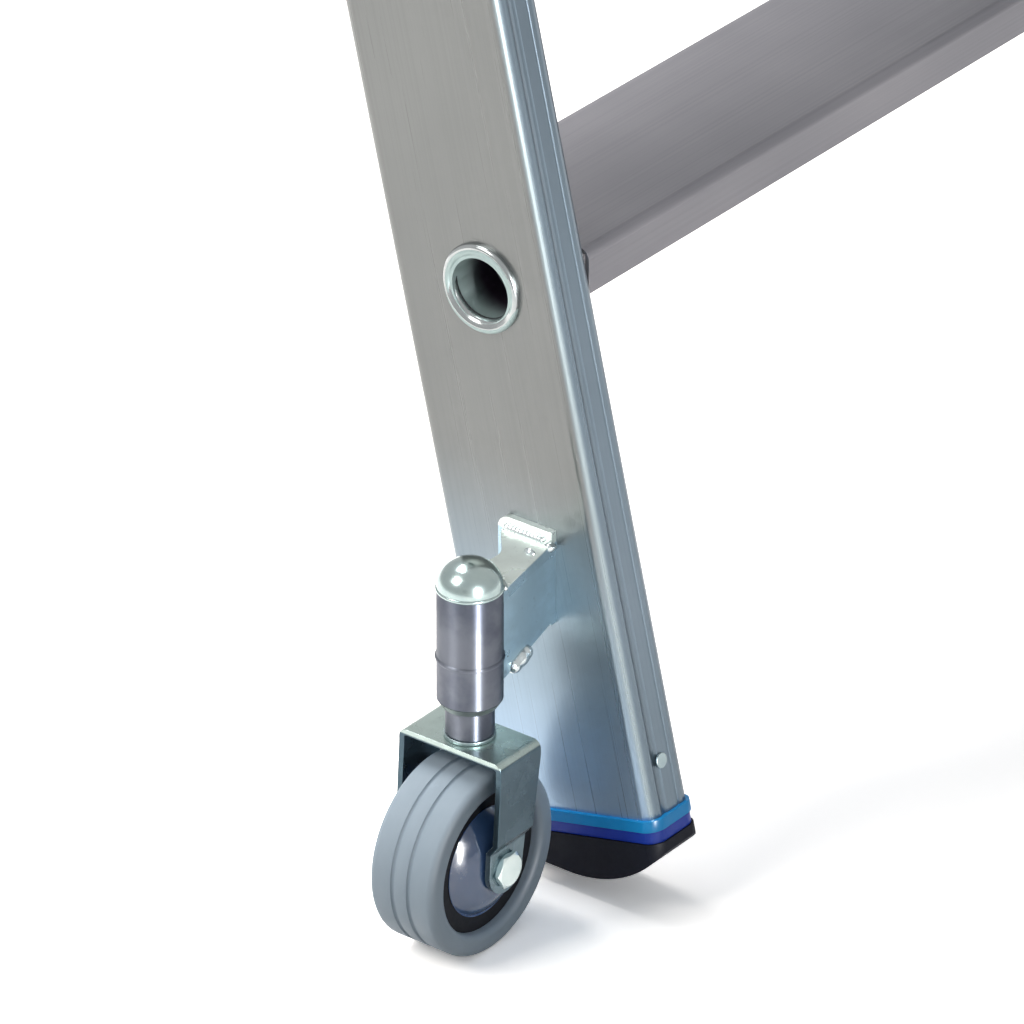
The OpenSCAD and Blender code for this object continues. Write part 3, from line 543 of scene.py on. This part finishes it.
def lathe(mesh, profile, place, segments):
    """Turns a closed profile of (radius, height) about the Z axis of the matrix place.

    The profile is a list, or a function that gives one for each angle."""
    rings = []
    for k in range(segments):
        a = 2 * math.pi * k / segments
        points = profile(a) if callable(profile) else profile
        rings.append([
            mesh.verts.new(place @ Vector((mm(r) * math.cos(a), mm(r) * math.sin(a), mm(h))))
            for r, h in points
        ])
    count = len(rings[0])
    for near, far in zip(rings, rings[1:] + rings[:1]):
        for j in range(count):
            m = (j + 1) % count
            mesh.faces.new((near[j], far[j], far[m], near[m]))


def upright(side):
    """The castor's upright axis: heights are levels above the floor."""
    return Matrix.Translation(put(side, -AXIS_OUT, AXIS_BACK, 0))


def axle(side):
    """The wheel's axle: heights run from the wheel's middle towards the ladder's front."""
    point = put(side, -AXIS_OUT - TRAIL, AXIS_BACK, WHEEL_R)
    return Matrix.Translation(point) @ Matrix.Rotation(math.pi / 2, 4, "X")


# Segments of the turned pieces
TYRE_SEGMENTS, GUIDE_SEGMENTS, DOME_SEGMENTS, FLARE_SEGMENTS = 160, 128, 120, 96
HEX_SEGMENTS, SHANK_SEGMENTS = 72, 48
# Hexagons: half of a flat's sector in degrees, the round face's share of the width across flats,
# and the bevel beside that face in degrees
HALF_SECTOR, FACE_SHARE, FACE_BEVEL = 30, 0.95, 30
THREAD_PITCH, THREAD_DEPTH = 1.0, 0.35


def hexagon(af, low, high, bore):
    """Profile of a hexagon with chamfered ends, for each angle."""
    flat_r = af / 2
    round_r = flat_r * FACE_SHARE

    def profile(a):
        turn = (math.degrees(a) + HALF_SECTOR) % (2 * HALF_SECTOR) - HALF_SECTOR
        r = flat_r / math.cos(math.radians(HALF_SECTOR - abs(turn)))
        drop = max(0, r - round_r) * math.tan(math.radians(FACE_BEVEL))
        below = [(bore, low), (round_r, low), (r, low + drop)]
        return below + [(r, high - drop), (round_r, high), (bore, high)]

    return profile


def thread(r, low, high):
    """Outline of a threaded end, from low to high, as rings."""
    points = [(r, low)]
    h = low
    while h + THREAD_PITCH <= high:
        points += [(r - THREAD_DEPTH, h + THREAD_PITCH / 2), (r, h + THREAD_PITCH)]
        h += THREAD_PITCH
    return points


# Wheels
GROOVE_EDGE, GROOVE_DROP = 0.4, 0.1
# The hub domes' rolled edges: how far they stand out at their middle and foot, how far they reach
# inwards, and the middle's height. The dome's inner face stops some degrees short of its outer one.
ROLL_OUT, ROLL_FOOT, ROLL_IN, ROLL_H = 0.35, 0.3, 1.2, 0.4
DOME_INNER_STOP = 3


def tyre_profile():
    side = TYRE_W / 2
    tread_r = WHEEL_R - SHOULDER_R
    points = arc(RIM_R + LIP_R, LIP_R - side, LIP_R, 180, 270, steps=8)
    points += arc(tread_r, SHOULDER_R - side, SHOULDER_R, 270, 360, steps=10)
    for at in (-GROOVE_AT, GROOVE_AT):
        low, high = at - GROOVE_R, at + GROOVE_R
        points += [(WHEEL_R, low - GROOVE_EDGE), (WHEEL_R - GROOVE_DROP, low)]
        points += arc(WHEEL_R, at, GROOVE_R, 260, 100, steps=10)
        points += [(WHEEL_R - GROOVE_DROP, high), (WHEEL_R, high + GROOVE_EDGE)]
    points += arc(tread_r, side - SHOULDER_R, SHOULDER_R, 0, 90, steps=10)
    points += arc(RIM_R + LIP_R, side - LIP_R, LIP_R, 90, 180, steps=8)
    return points


def dome_profile(sign):
    face = RIM_W / 2
    reach = DOME_R - DOME_EYE
    arc_r = (reach * reach + DOME_H * DOME_H) / (2 * DOME_H)
    centre = face + DOME_H - arc_r
    end = math.degrees(math.asin(reach / arc_r))
    outer = arc(centre, DOME_EYE, arc_r, 0, end, steps=20)
    inner = arc(centre, DOME_EYE, arc_r - DOME_WALL, end - DOME_INNER_STOP, 0, steps=20)
    rolled = [(face + ROLL_H, DOME_R + ROLL_OUT)]
    rolled += [(face, DOME_R + ROLL_FOOT), (face, DOME_R - ROLL_IN)]
    return [(r, sign * h) for h, r in outer + rolled + inner]


def wheel(side):
    body = f"{side}_wheel_body"
    mesh = bmesh.new()
    lathe(mesh, tyre_profile(), axle(side), TYRE_SEGMENTS)
    make(f"{side}_tyre_piece", mesh, body, "grey_rubber", [f"{side}_tyre"])
    mesh = bmesh.new()
    for sign in (-1, 1):
        lathe(mesh, dome_profile(sign), axle(side), DOME_SEGMENTS)
    make(f"{side}_hub_domes", mesh, body, "hub_plastic", [f"{side}_hub_caps"])


# The bolt's head stands on a round face, and its shank runs into the head
HEAD_OFF, FACE_IN, FACE_H, SHANK_IN_HEAD = 0.3, 0.2, 0.5, 0.2
SHANK_END_IN, SHANK_END_H = 0.6, 0.5


def axle_screw(side):
    half = AXLE_W / 2
    face_r = HEX_AF / 2 - FACE_IN
    face = [(0, half), (face_r, half), (face_r, half + FACE_H), (0, half + FACE_H)]
    low = -half - NUT_H - THREAD_OUT
    shank = [(0, low), (AXLE_R - SHANK_END_IN, low)] + thread(AXLE_R, low + SHANK_END_H, -half)
    shank += [(AXLE_R, half + SHANK_IN_HEAD), (0, half + SHANK_IN_HEAD)]
    mesh = bmesh.new()
    lathe(mesh, hexagon(HEX_AF, half + HEAD_OFF, half + HEAD_H, 0), axle(side), HEX_SEGMENTS)
    lathe(mesh, face, axle(side), SHANK_SEGMENTS)
    lathe(mesh, shank, axle(side), SHANK_SEGMENTS)
    body = f"{side}_fork_body"
    make(f"{side}_axle_screw", mesh, body, "zinc_steel", [f"{side}_axle_bolt"], BOLT_PAINTED_GLARE)


def axle_nut(side):
    half = AXLE_W / 2
    mesh = bmesh.new()
    lathe(mesh, hexagon(HEX_AF, -half - NUT_H, -half, AXLE_R), axle(side), HEX_SEGMENTS)
    body = f"{side}_fork_body"
    make(f"{side}_axle_hex_nut", mesh, body, "zinc_steel", [f"{side}_axle_nut"], BOLT_PAINTED_GLARE)


# Sprung plungers
TUBE_CHAMFER, TUBE_EDGE_R = 0.3, 0.5
# The ring bead round the guide tube: its level, half height, rounding, and how deep that is sunk
RING_Z, RING_HALF, RING_R, RING_SUNK = 119.6, 1.4, 1.0, 0.4
# The guide cap: its bead on the tube, how deep that is sunk, and the dome's height by its radius
CAP_BEAD_R, CAP_BEAD_SUNK, CAP_FLAT = 0.8, 0.35, 0.86
BUSH_LENGTH, NOSE_R, NOSE_IN = 18, 0.4, 2.1


def guide_barrel(side):
    edge_r = GUIDE_R - TUBE_EDGE_R
    wall = [(GUIDE_IN, TUBE_BOT + TUBE_CHAMFER), (GUIDE_IN + TUBE_CHAMFER, TUBE_BOT)]
    wall += [(edge_r, TUBE_BOT)]
    wall += arc(edge_r, TUBE_BOT + TUBE_EDGE_R, TUBE_EDGE_R, 270, 360, steps=5)
    wall += [(GUIDE_R, RING_Z - RING_HALF)]
    wall += arc(GUIDE_R - RING_SUNK, RING_Z, RING_R, -60, 60, steps=8)
    wall += [(GUIDE_R, RING_Z + RING_HALF), (GUIDE_R, TUBE_TOP), (GUIDE_IN, TUBE_TOP)]
    mesh = bmesh.new()
    lathe(mesh, wall, upright(side), GUIDE_SEGMENTS)
    make(f"{side}_guide_barrel", mesh, FRAME_BODY, "bright_steel", [f"{side}_guide_tube"])


def guide_dome(side):
    dome_z = TUBE_TOP + 2 * CAP_BEAD_R
    dome = [(0, SEAT_Z), (GUIDE_IN, SEAT_Z), (GUIDE_IN, TUBE_TOP), (GUIDE_R, TUBE_TOP)]
    dome += arc(GUIDE_R - CAP_BEAD_SUNK, TUBE_TOP + CAP_BEAD_R, CAP_BEAD_R, -70, 70, steps=8)
    dome += [(r, dome_z + h * CAP_FLAT) for r, h in arc(0, 0, GUIDE_R, 0, 90, steps=28)]
    mesh = bmesh.new()
    lathe(mesh, dome, upright(side), GUIDE_SEGMENTS)
    make(f"{side}_guide_dome", mesh, FRAME_BODY, "zinc_steel", [f"{side}_guide_cap"], DOMED)


def nylon_bush(side):
    top = TUBE_BOT + BUSH_LENGTH
    bush = [(BUSH_BORE, top), (BUSH_BORE, MOUTH_Z + NOSE_R), (BUSH_BORE + NOSE_R, MOUTH_Z)]
    bush += arc(GUIDE_R - NOSE_IN, MOUTH_Z + NOSE_R, NOSE_R, 270, 330, steps=4)
    bush += [(GUIDE_R, TUBE_BOT), (GUIDE_IN, TUBE_BOT), (GUIDE_IN, top)]
    mesh = bmesh.new()
    lathe(mesh, bush, upright(side), GUIDE_SEGMENTS)
    make(f"{side}_nylon_bush", mesh, FRAME_BODY, "bush_plastic", [f"{side}_guide_bush"])


# The swivel pin's riveted head: its gap to the crown, height, radii and rounding
RIVET_GAP, RIVET_H, RIVET_R, RIVET_FLAT_R, RIVET_EDGE_R = 0.1, 2.2, 8, 4, 1.8
# Chamfers of the plunger, its head and its pilot, and the head's clearance in the tube
ROD_CHAMFER, HEAD_CHAMFER, PILOT_CHAMFER, HEAD_FIT = 0.5, 0.3, 0.6, 0.3


def plunger(side):
    pin_top = CROWN_Z - RIVET_GAP
    pin_low = pin_top - RIVET_H
    head_r = GUIDE_IN - HEAD_FIT
    rod = [(0, pin_low), (RIVET_FLAT_R, pin_low)]
    rod += arc(RIVET_R - RIVET_EDGE_R, pin_low + RIVET_EDGE_R, RIVET_EDGE_R, 270, 360, steps=6)
    rod += [(RIVET_R, pin_top), (PIN_R, pin_top), (PIN_R, SHOULDER_Z)]
    rod += [(PLUNGER_R - ROD_CHAMFER, SHOULDER_Z), (PLUNGER_R, SHOULDER_Z + ROD_CHAMFER)]
    rod += [(PLUNGER_R, HEAD_Z), (head_r, HEAD_Z), (head_r, PLUNGER_TOP - HEAD_CHAMFER)]
    rod += [(head_r - HEAD_CHAMFER, PLUNGER_TOP), (PIN_R, PLUNGER_TOP)]
    rod += [(PIN_R, PILOT_TOP - PILOT_CHAMFER), (PIN_R - PILOT_CHAMFER, PILOT_TOP), (0, PILOT_TOP)]
    mesh = bmesh.new()
    lathe(mesh, rod, upright(side), GUIDE_SEGMENTS)
    body = f"{side}_plunger_body"
    make(f"{side}_plunger_rod", mesh, body, "bright_steel", [f"{side}_plunger"])


TUBE_SIDES, STEEP = 12, 0.9


def tube(mesh, centres, radii, place):
    """A closed tube along centres in mm, with a radius in mm for each."""
    rings = []
    last = len(centres) - 1
    for k, centre in enumerate(centres):
        ahead = (centres[min(k + 1, last)] - centres[max(k - 1, 0)]).normalized()
        level = abs(ahead.z) < STEEP
        across = ahead.cross(Vector((0, 0, 1)) if level else Vector((0, 1, 0))).normalized()
        up = across.cross(ahead)
        rings.append([
            mesh.verts.new(place(centre + radii[k] * (math.cos(b) * across + math.sin(b) * up)))
            for b in (2 * math.pi * j / TUBE_SIDES for j in range(TUBE_SIDES))
        ])
    for near, far in zip(rings, rings[1:]):
        for j in range(TUBE_SIDES):
            m = (j + 1) % TUBE_SIDES
            mesh.faces.new((near[j], near[m], far[m], far[j]))
    mesh.faces.new(rings[0])
    mesh.faces.new(rings[-1])


# The coil: part of a turn that is closed at each end, its pitch in wire radii, and steps to a turn
CLOSED, CLOSED_PITCH, COIL_STEPS = 0.75, 2.15, 40


def coil_height(turn, rise):
    """Height of the wire above its start, with the end turns closed."""
    end_rise = CLOSED * CLOSED_PITCH * WIRE_R
    if turn < CLOSED:
        return end_rise * turn / CLOSED
    if turn > SPRING_TURNS - CLOSED:
        return rise - end_rise * (SPRING_TURNS - turn) / CLOSED
    return end_rise + (rise - 2 * end_rise) * (turn - CLOSED) / (SPRING_TURNS - 2 * CLOSED)


def spring(side):
    """Coil spring, from the plunger's head up to its seat."""
    low = PLUNGER_TOP + SPRING_GAP + WIRE_R
    rise = SEAT_Z - SPRING_GAP - WIRE_R - low
    centres = []
    for k in range(int(SPRING_TURNS * COIL_STEPS) + 1):
        turn = k / COIL_STEPS
        a = 2 * math.pi * turn
        z = low + coil_height(turn, rise)
        centres.append(Vector((SPRING_R * math.cos(a), SPRING_R * math.sin(a), z)))
    mesh = bmesh.new()
    origin = upright(side)
    tube(mesh, centres, [WIRE_R] * len(centres), lambda p: origin @ mm(p))
    body = f"{side}_plunger_body"
    coil = make(f"{side}_coil", mesh, body, "spring_steel", [f"{side}_castor_spring"])
    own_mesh(coil)


# Welds on the castor bracket
WEB_REAR = WEB_FRONT + WEB_T
ARM_LOW = TUBE_TOP - ARM_H
# Where the web's front face meets the guide tube, and the level from which it is welded
JOINT = -AXIS_OUT + math.sqrt(GUIDE_R ** 2 - (AXIS_BACK - WEB_FRONT) ** 2)
JOINT_LOW = 104
# The bead round the guide tube above the arm: how far it stands off, its angles and its steps
RING_OFF, RING_START, RING_STEP, RING_COUNT = 0.4, -56, 7, 17
WELD_RING = [
    (
        -AXIS_OUT + (GUIDE_R + RING_OFF) * math.cos(math.radians(a)),
        AXIS_BACK + (GUIDE_R + RING_OFF) * math.sin(math.radians(a)),
        TUBE_TOP + 0.1,
    )
    for a in (RING_START + RING_STEP * k for k in range(RING_COUNT))
]
EVEN_RIPPLE = 1.7
# Each bead's points for put(), its radius, and the pitch of its ripples
BEADS = [
    # Along the arm's end on the base plate, and the spot at its front corner
    ([(-BASE_T - 0.3, WEB_FRONT + 3, TUBE_TOP + 0.2), (-BASE_T - 0.3, 68, TUBE_TOP + 0.2)],
     1.7, EVEN_RIPPLE),
    ([(-BASE_T - 1.2, WEB_FRONT - 0.6, TUBE_TOP - 3.2),
      (-BASE_T - 0.6, WEB_FRONT + 1.2, TUBE_TOP + 0.6)], 3.1, 4),
    # Plug weld through the arm into the web
    ([(-15, WEB_FRONT + 2.6, TUBE_TOP - 1.2), (-11, WEB_FRONT + 2.2, TUBE_TOP - 1.2)], 3.1, 5),
    # Run along the web's lower edge
    ([(-28, WEB_FRONT + 0.6, 104.4), (-15.5, WEB_FRONT + 0.6, 109.2)], 3.3, 6),
    # Round the guide tube above the arm, and down the web's two sides
    (WELD_RING, 1.1, EVEN_RIPPLE),
    ([(JOINT, WEB_FRONT, JOINT_LOW), (JOINT, WEB_FRONT, ARM_LOW)], 0.8, EVEN_RIPPLE),
    ([(JOINT + 0.3, WEB_REAR, JOINT_LOW), (JOINT + 0.3, WEB_REAR, ARM_LOW)], 1.0, EVEN_RIPPLE),
    # Down the web's rear side on the base plate
    ([(-BASE_T, WEB_REAR, BASE_BOT + 2), (-BASE_T, WEB_REAR, ARM_LOW)], 1.2, EVEN_RIPPLE),
]
BEAD_STEP, BEAD_LEAST_R = 0.35, 0.12
# A bead swells by its ripples, and by a slow wave with its own rate per mm
RIPPLE, WAVE, WAVE_RATE = 0.045, 0.02, 1.1


def bead(mesh, side, points, radius, pitch):
    """A weld bead along points, with its ripples and its rounded ends."""
    path = [Vector(points[0])]
    for a, b in zip(points, points[1:]):
        a, b = Vector(a), Vector(b)
        count = max(1, round((b - a).length / BEAD_STEP))
        path += [a + (b - a) * (k + 1) / count for k in range(count)]
    total = sum((b - a).length for a, b in zip(path, path[1:]))
    radii, gone = [], 0
    for k, point in enumerate(path):
        gone += (point - path[k - 1]).length if k else 0
        end = min(1, min(gone, total - gone) / radius)
        ripple = RIPPLE * math.sin(2 * math.pi * gone / pitch)
        swell = 1 + ripple + WAVE * math.sin(gone * WAVE_RATE + 1)
        radii.append(max(BEAD_LEAST_R, radius * math.sqrt(max(0, 1 - (1 - end) ** 2)) * swell))
    tube(mesh, path, radii, lambda p: put(side, *p))


def welds(side):
    mesh = bmesh.new()
    for points, radius, pitch in BEADS:
        bead(mesh, side, points, radius, pitch)
    make(f"{side}_bracket_welds", mesh, FRAME_BODY, "zinc_steel", (), WELD)


# Flared ends of the treads' tubes
# The tube's axis, behind the tread's nose and below its top
TREAD_TUBE_BACK, TREAD_TUBE_DOWN = 31, 15.9
# Outline of a flare, as its radius and how far it stands out of the stile
FLARE_SKIN = [(12.95, -1.4)] + arc(16.9, -1.4, 3.95, 180, 112, steps=9)
FLARE_SKIN += arc(15.75, 0.9, 1.65, 80, 0, steps=8) + [(17.4, 0.05)]
FLARE_UNDER = [(16.9, 0.1), (16.6, 1.2), (15.6, 1.7), (14.4, 1.0), (13.3, -1.4)]


def flares(tread):
    low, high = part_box(tread)
    point = Vector((0, low.y + mm(TREAD_TUBE_BACK), high.z - mm(TREAD_TUBE_DOWN)))
    mesh = bmesh.new()
    for sign in (-1, 1):
        turn = Matrix.Rotation(sign * math.pi / 2, 4, "Y")
        place = Matrix.Translation(point + Vector((sign * HALF_W, 0, 0))) @ turn
        lathe(mesh, FLARE_SKIN + FLARE_UNDER, place, FLARE_SEGMENTS)
    make(f"{tread}_flares", mesh, FRAME_BODY, "tread_aluminium", (), FLARE)


# Soft edges on the parts that keep their solids, as widths in mm
EDGE_MM = {
    "stile": 0.25, "tread": 0.5, "foot_cap": 0.8, "top_cap": 0.8, "foot_sole": 0.9,
    "rail_hook": 0.9, "hook_liner": 0.5, "castor_bracket": 0.5, "castor_fork": 0.45,
    "swivel_washer": 0.25, "foot_pin": 0.3, "wheel_rim": 0.6,
}
MERGE_WITHIN = mm(0.002)
FLAT_ANGLE, EDGE_ANGLE = math.radians(0.5), math.radians(28)
EDGE_SEGMENTS = 3


def soften(piece, width):
    """Merges a solid's triangles into flat faces and rounds its edges."""
    weld = piece.modifiers.new("weld", "WELD")
    weld.merge_threshold = MERGE_WITHIN
    flat = piece.modifiers.new("flat", "DECIMATE")
    flat.decimate_type = "DISSOLVE"
    flat.angle_limit = FLAT_ANGLE
    bevel = piece.modifiers.new("edges", "BEVEL")
    bevel.width = mm(width)
    bevel.segments = EDGE_SEGMENTS
    bevel.limit_method = "ANGLE"
    bevel.angle_limit = EDGE_ANGLE
    bevel.harden_normals = True


def kind(name):
    """A node's name without its side or number."""
    for side in SIDES:
        if name.startswith(side + "_"):
            return name[len(side) + 1:]
    return "tread" if name.startswith("tread_") else name


for name, piece in nodes.items():
    paint(piece, PAINTED_LIGHT_BY_KIND.get(kind(name), MATERIALS[SLOT_OF[name]]))
    if kind(name) in EDGE_MM:
        soften(piece, EDGE_MM[kind(name)])
for side in SIDES:
    wheel(side)
    axle_screw(side)
    axle_nut(side)
    guide_barrel(side)
    guide_dome(side)
    nylon_bush(side)
    plunger(side)
    spring(side)
    welds(side)
for name in nodes:
    if kind(name) == "tread":
        flares(name)


# Floor and world
# The floor reaches FLOOR_HALF metres each way, just below the wheels
FLOOR_HALF = 60
FLOOR_BELOW = mm(0.1)
FLOOR_TONES = (0.825, 0.790, 0.760), (0.845, 0.810, 0.780)
# Where it is looked at, it glows a little and its colour is raised, to a white level
FLOOR_GLOW = 0.13
FLOOR_GAIN = 2.1
# For the light that it throws on the object, its colour is lowered
FLOOR_BOUNCE = 0.4
# Distances from the ladder's foot over which it turns pure white
WHITE_OVER = (0.9, 2.0)
SOFT_LIGHT = (0.86, 0.93, 1.0, 1)
SOFT_STRENGTH = 0.42


def seen_directly(tree):
    """1 where a camera, glossy or transmission ray looks, and 0 for the light on the object."""
    rays = tree.nodes.new("ShaderNodeLightPath")
    value = rays.outputs["Is Camera Ray"]
    for name in ("Is Glossy Ray", "Is Transmission Ray"):
        either = tree.nodes.new("ShaderNodeMath")
        either.operation = "MAXIMUM"
        tree.links.new(value, either.inputs[0])
        tree.links.new(rays.outputs[name], either.inputs[1])
        value = either.outputs[0]
    return value


def floor_colour(look, seen, far):
    """The floor's colour, by what looks at it and how far from the ladder."""
    tone = look.blend(look.noise("floor"), *FLOOR_TONES)
    gain = look.math("MULTIPLY", look.spread(far, (FLOOR_GAIN, 0), WHOLE), seen)
    bounce = look.math("MULTIPLY", look.math("SUBTRACT", 1, seen), FLOOR_BOUNCE)
    scaled = look.add("ShaderNodeVectorMath", operation="SCALE")
    look.link(tone, scaled.inputs[0])
    look.link(look.math("ADD", gain, bounce), scaled.inputs["Scale"])
    return scaled.outputs["Vector"]


def floor_material():
    look = Look("floor")
    seen = seen_directly(look.tree)
    away = look.add("ShaderNodeVectorMath", operation="DISTANCE")
    away.inputs[1].default_value = (0, CORNER.y, FLOOR_Z)
    look.link(look.coords, away.inputs[0])
    far = look.rise(away.outputs["Value"], WHITE_OVER)
    matt = look.add("ShaderNodeBsdfDiffuse")
    look.link(floor_colour(look, seen, far), matt.inputs["Color"])
    glow = look.add("ShaderNodeEmission")
    level = look.math("MULTIPLY", seen, look.spread(far, (FLOOR_GLOW, 1), WHOLE))
    look.link(level, glow.inputs["Strength"])
    both = look.add("ShaderNodeAddShader")
    look.link(matt.outputs["BSDF"], both.inputs[0])
    look.link(glow.outputs["Emission"], both.inputs[1])
    look.link(both.outputs["Shader"], look.tree.nodes["Material Output"].inputs["Surface"])
    return look.material


def stage_floor():
    mesh = bmesh.new()
    for x, y in ((-1, -1), (1, -1), (1, 1), (-1, 1)):
        mesh.verts.new((x * FLOOR_HALF, y * FLOOR_HALF, FLOOR_Z - FLOOR_BELOW))
    mesh.faces.new(mesh.verts)
    floor = add_mesh("floor", mesh)
    floor.data.materials.append(floor_material())


def world_light():
    """Soft bluish light on the object, with white where the world is looked at."""
    world = bpy.data.worlds.new("studio")
    bpy.context.scene.world = world
    world.use_nodes = True
    tree = world.node_tree
    tree.nodes.clear()
    out = tree.nodes.new("ShaderNodeOutputWorld")
    white = tree.nodes.new("ShaderNodeBackground")
    white.inputs["Strength"].default_value = 1.0
    soft = tree.nodes.new("ShaderNodeBackground")
    soft.inputs["Color"].default_value = SOFT_LIGHT
    soft.inputs["Strength"].default_value = SOFT_STRENGTH
    mix = tree.nodes.new("ShaderNodeMixShader")
    tree.links.new(seen_directly(tree), mix.inputs["Fac"])
    tree.links.new(soft.outputs["Background"], mix.inputs[1])
    tree.links.new(white.outputs["Background"], mix.inputs[2])
    tree.links.new(mix.outputs["Shader"], out.inputs["Surface"])


# Lamps and camera
def lamp(name, position, target, extent, power, colour=(1, 1, 1), sheen_only=False):
    """A rectangular lamp in metres and watts, which the camera doesn't see."""
    data = bpy.data.lights.new(name, "AREA")
    data.shape = "RECTANGLE"
    data.size, data.size_y = extent
    data.energy = power
    data.color = colour
    light = add_object(name, data)
    light.location = position
    light.visible_camera = False
    light.visible_diffuse = not sheen_only
    light.rotation_mode = "QUATERNION"
    light.rotation_quaternion = (Vector(target) - Vector(position)).to_track_quat("-Z", "Y")


# The photograph's view: 52.56 degrees to the left of square, 28.82 degrees above level. The turn
# is counted from the ladder's left side.
VIEW_TURN = math.radians(37.441)
VIEW_RISE = math.radians(28.823)
VIEW_ROLL = math.radians(0.151)
VIEW_DISTANCE = 3.0849
LENS_MM, SENSOR_MM = 290.96, 36
CLIP_START, CLIP_END = 0.05, 200
LOOK_AT = Vector((CORNER.x, CORNER.y + mm(66.75), FLOOR_Z + mm(152.73)))


def photo_camera():
    data = bpy.data.cameras.new("camera")
    data.lens = LENS_MM
    data.sensor_width = SENSOR_MM
    data.clip_start = CLIP_START
    data.clip_end = CLIP_END
    camera = add_object("camera", data)
    back = Vector((
        -math.cos(VIEW_TURN) * math.cos(VIEW_RISE),
        -math.sin(VIEW_TURN) * math.cos(VIEW_RISE),
        math.sin(VIEW_RISE),
    ))
    camera.location = LOOK_AT + VIEW_DISTANCE * back
    camera.rotation_mode = "QUATERNION"
    turn = (-back).to_track_quat("-Z", "Y")
    camera.rotation_quaternion = turn @ Matrix.Rotation(VIEW_ROLL, 4, "Z").to_quaternion()
    bpy.context.scene.camera = camera


stage_floor()
world_light()
lamp("key", position=(-2.3, 0.6, 0.4), target=(-0.2, -0.4, -1.8), extent=(1.4, 1.4), power=56,
     colour=(1.0, 0.98, 0.95))
lamp("top", position=(0.2, 1.1, 1.6), target=(-0.1, -0.4, -1.9), extent=(1.6, 1.6), power=88)
# A low narrow lamp that draws the bright streak on the guide tube
lamp("strip", position=(-0.86, -1.82, -1.62), target=(-0.26, -0.53, -1.85), extent=(0.05, 0.7),
     power=50, sheen_only=True)
photo_camera()

bpy.context.scene.view_settings.view_transform = "Standard"
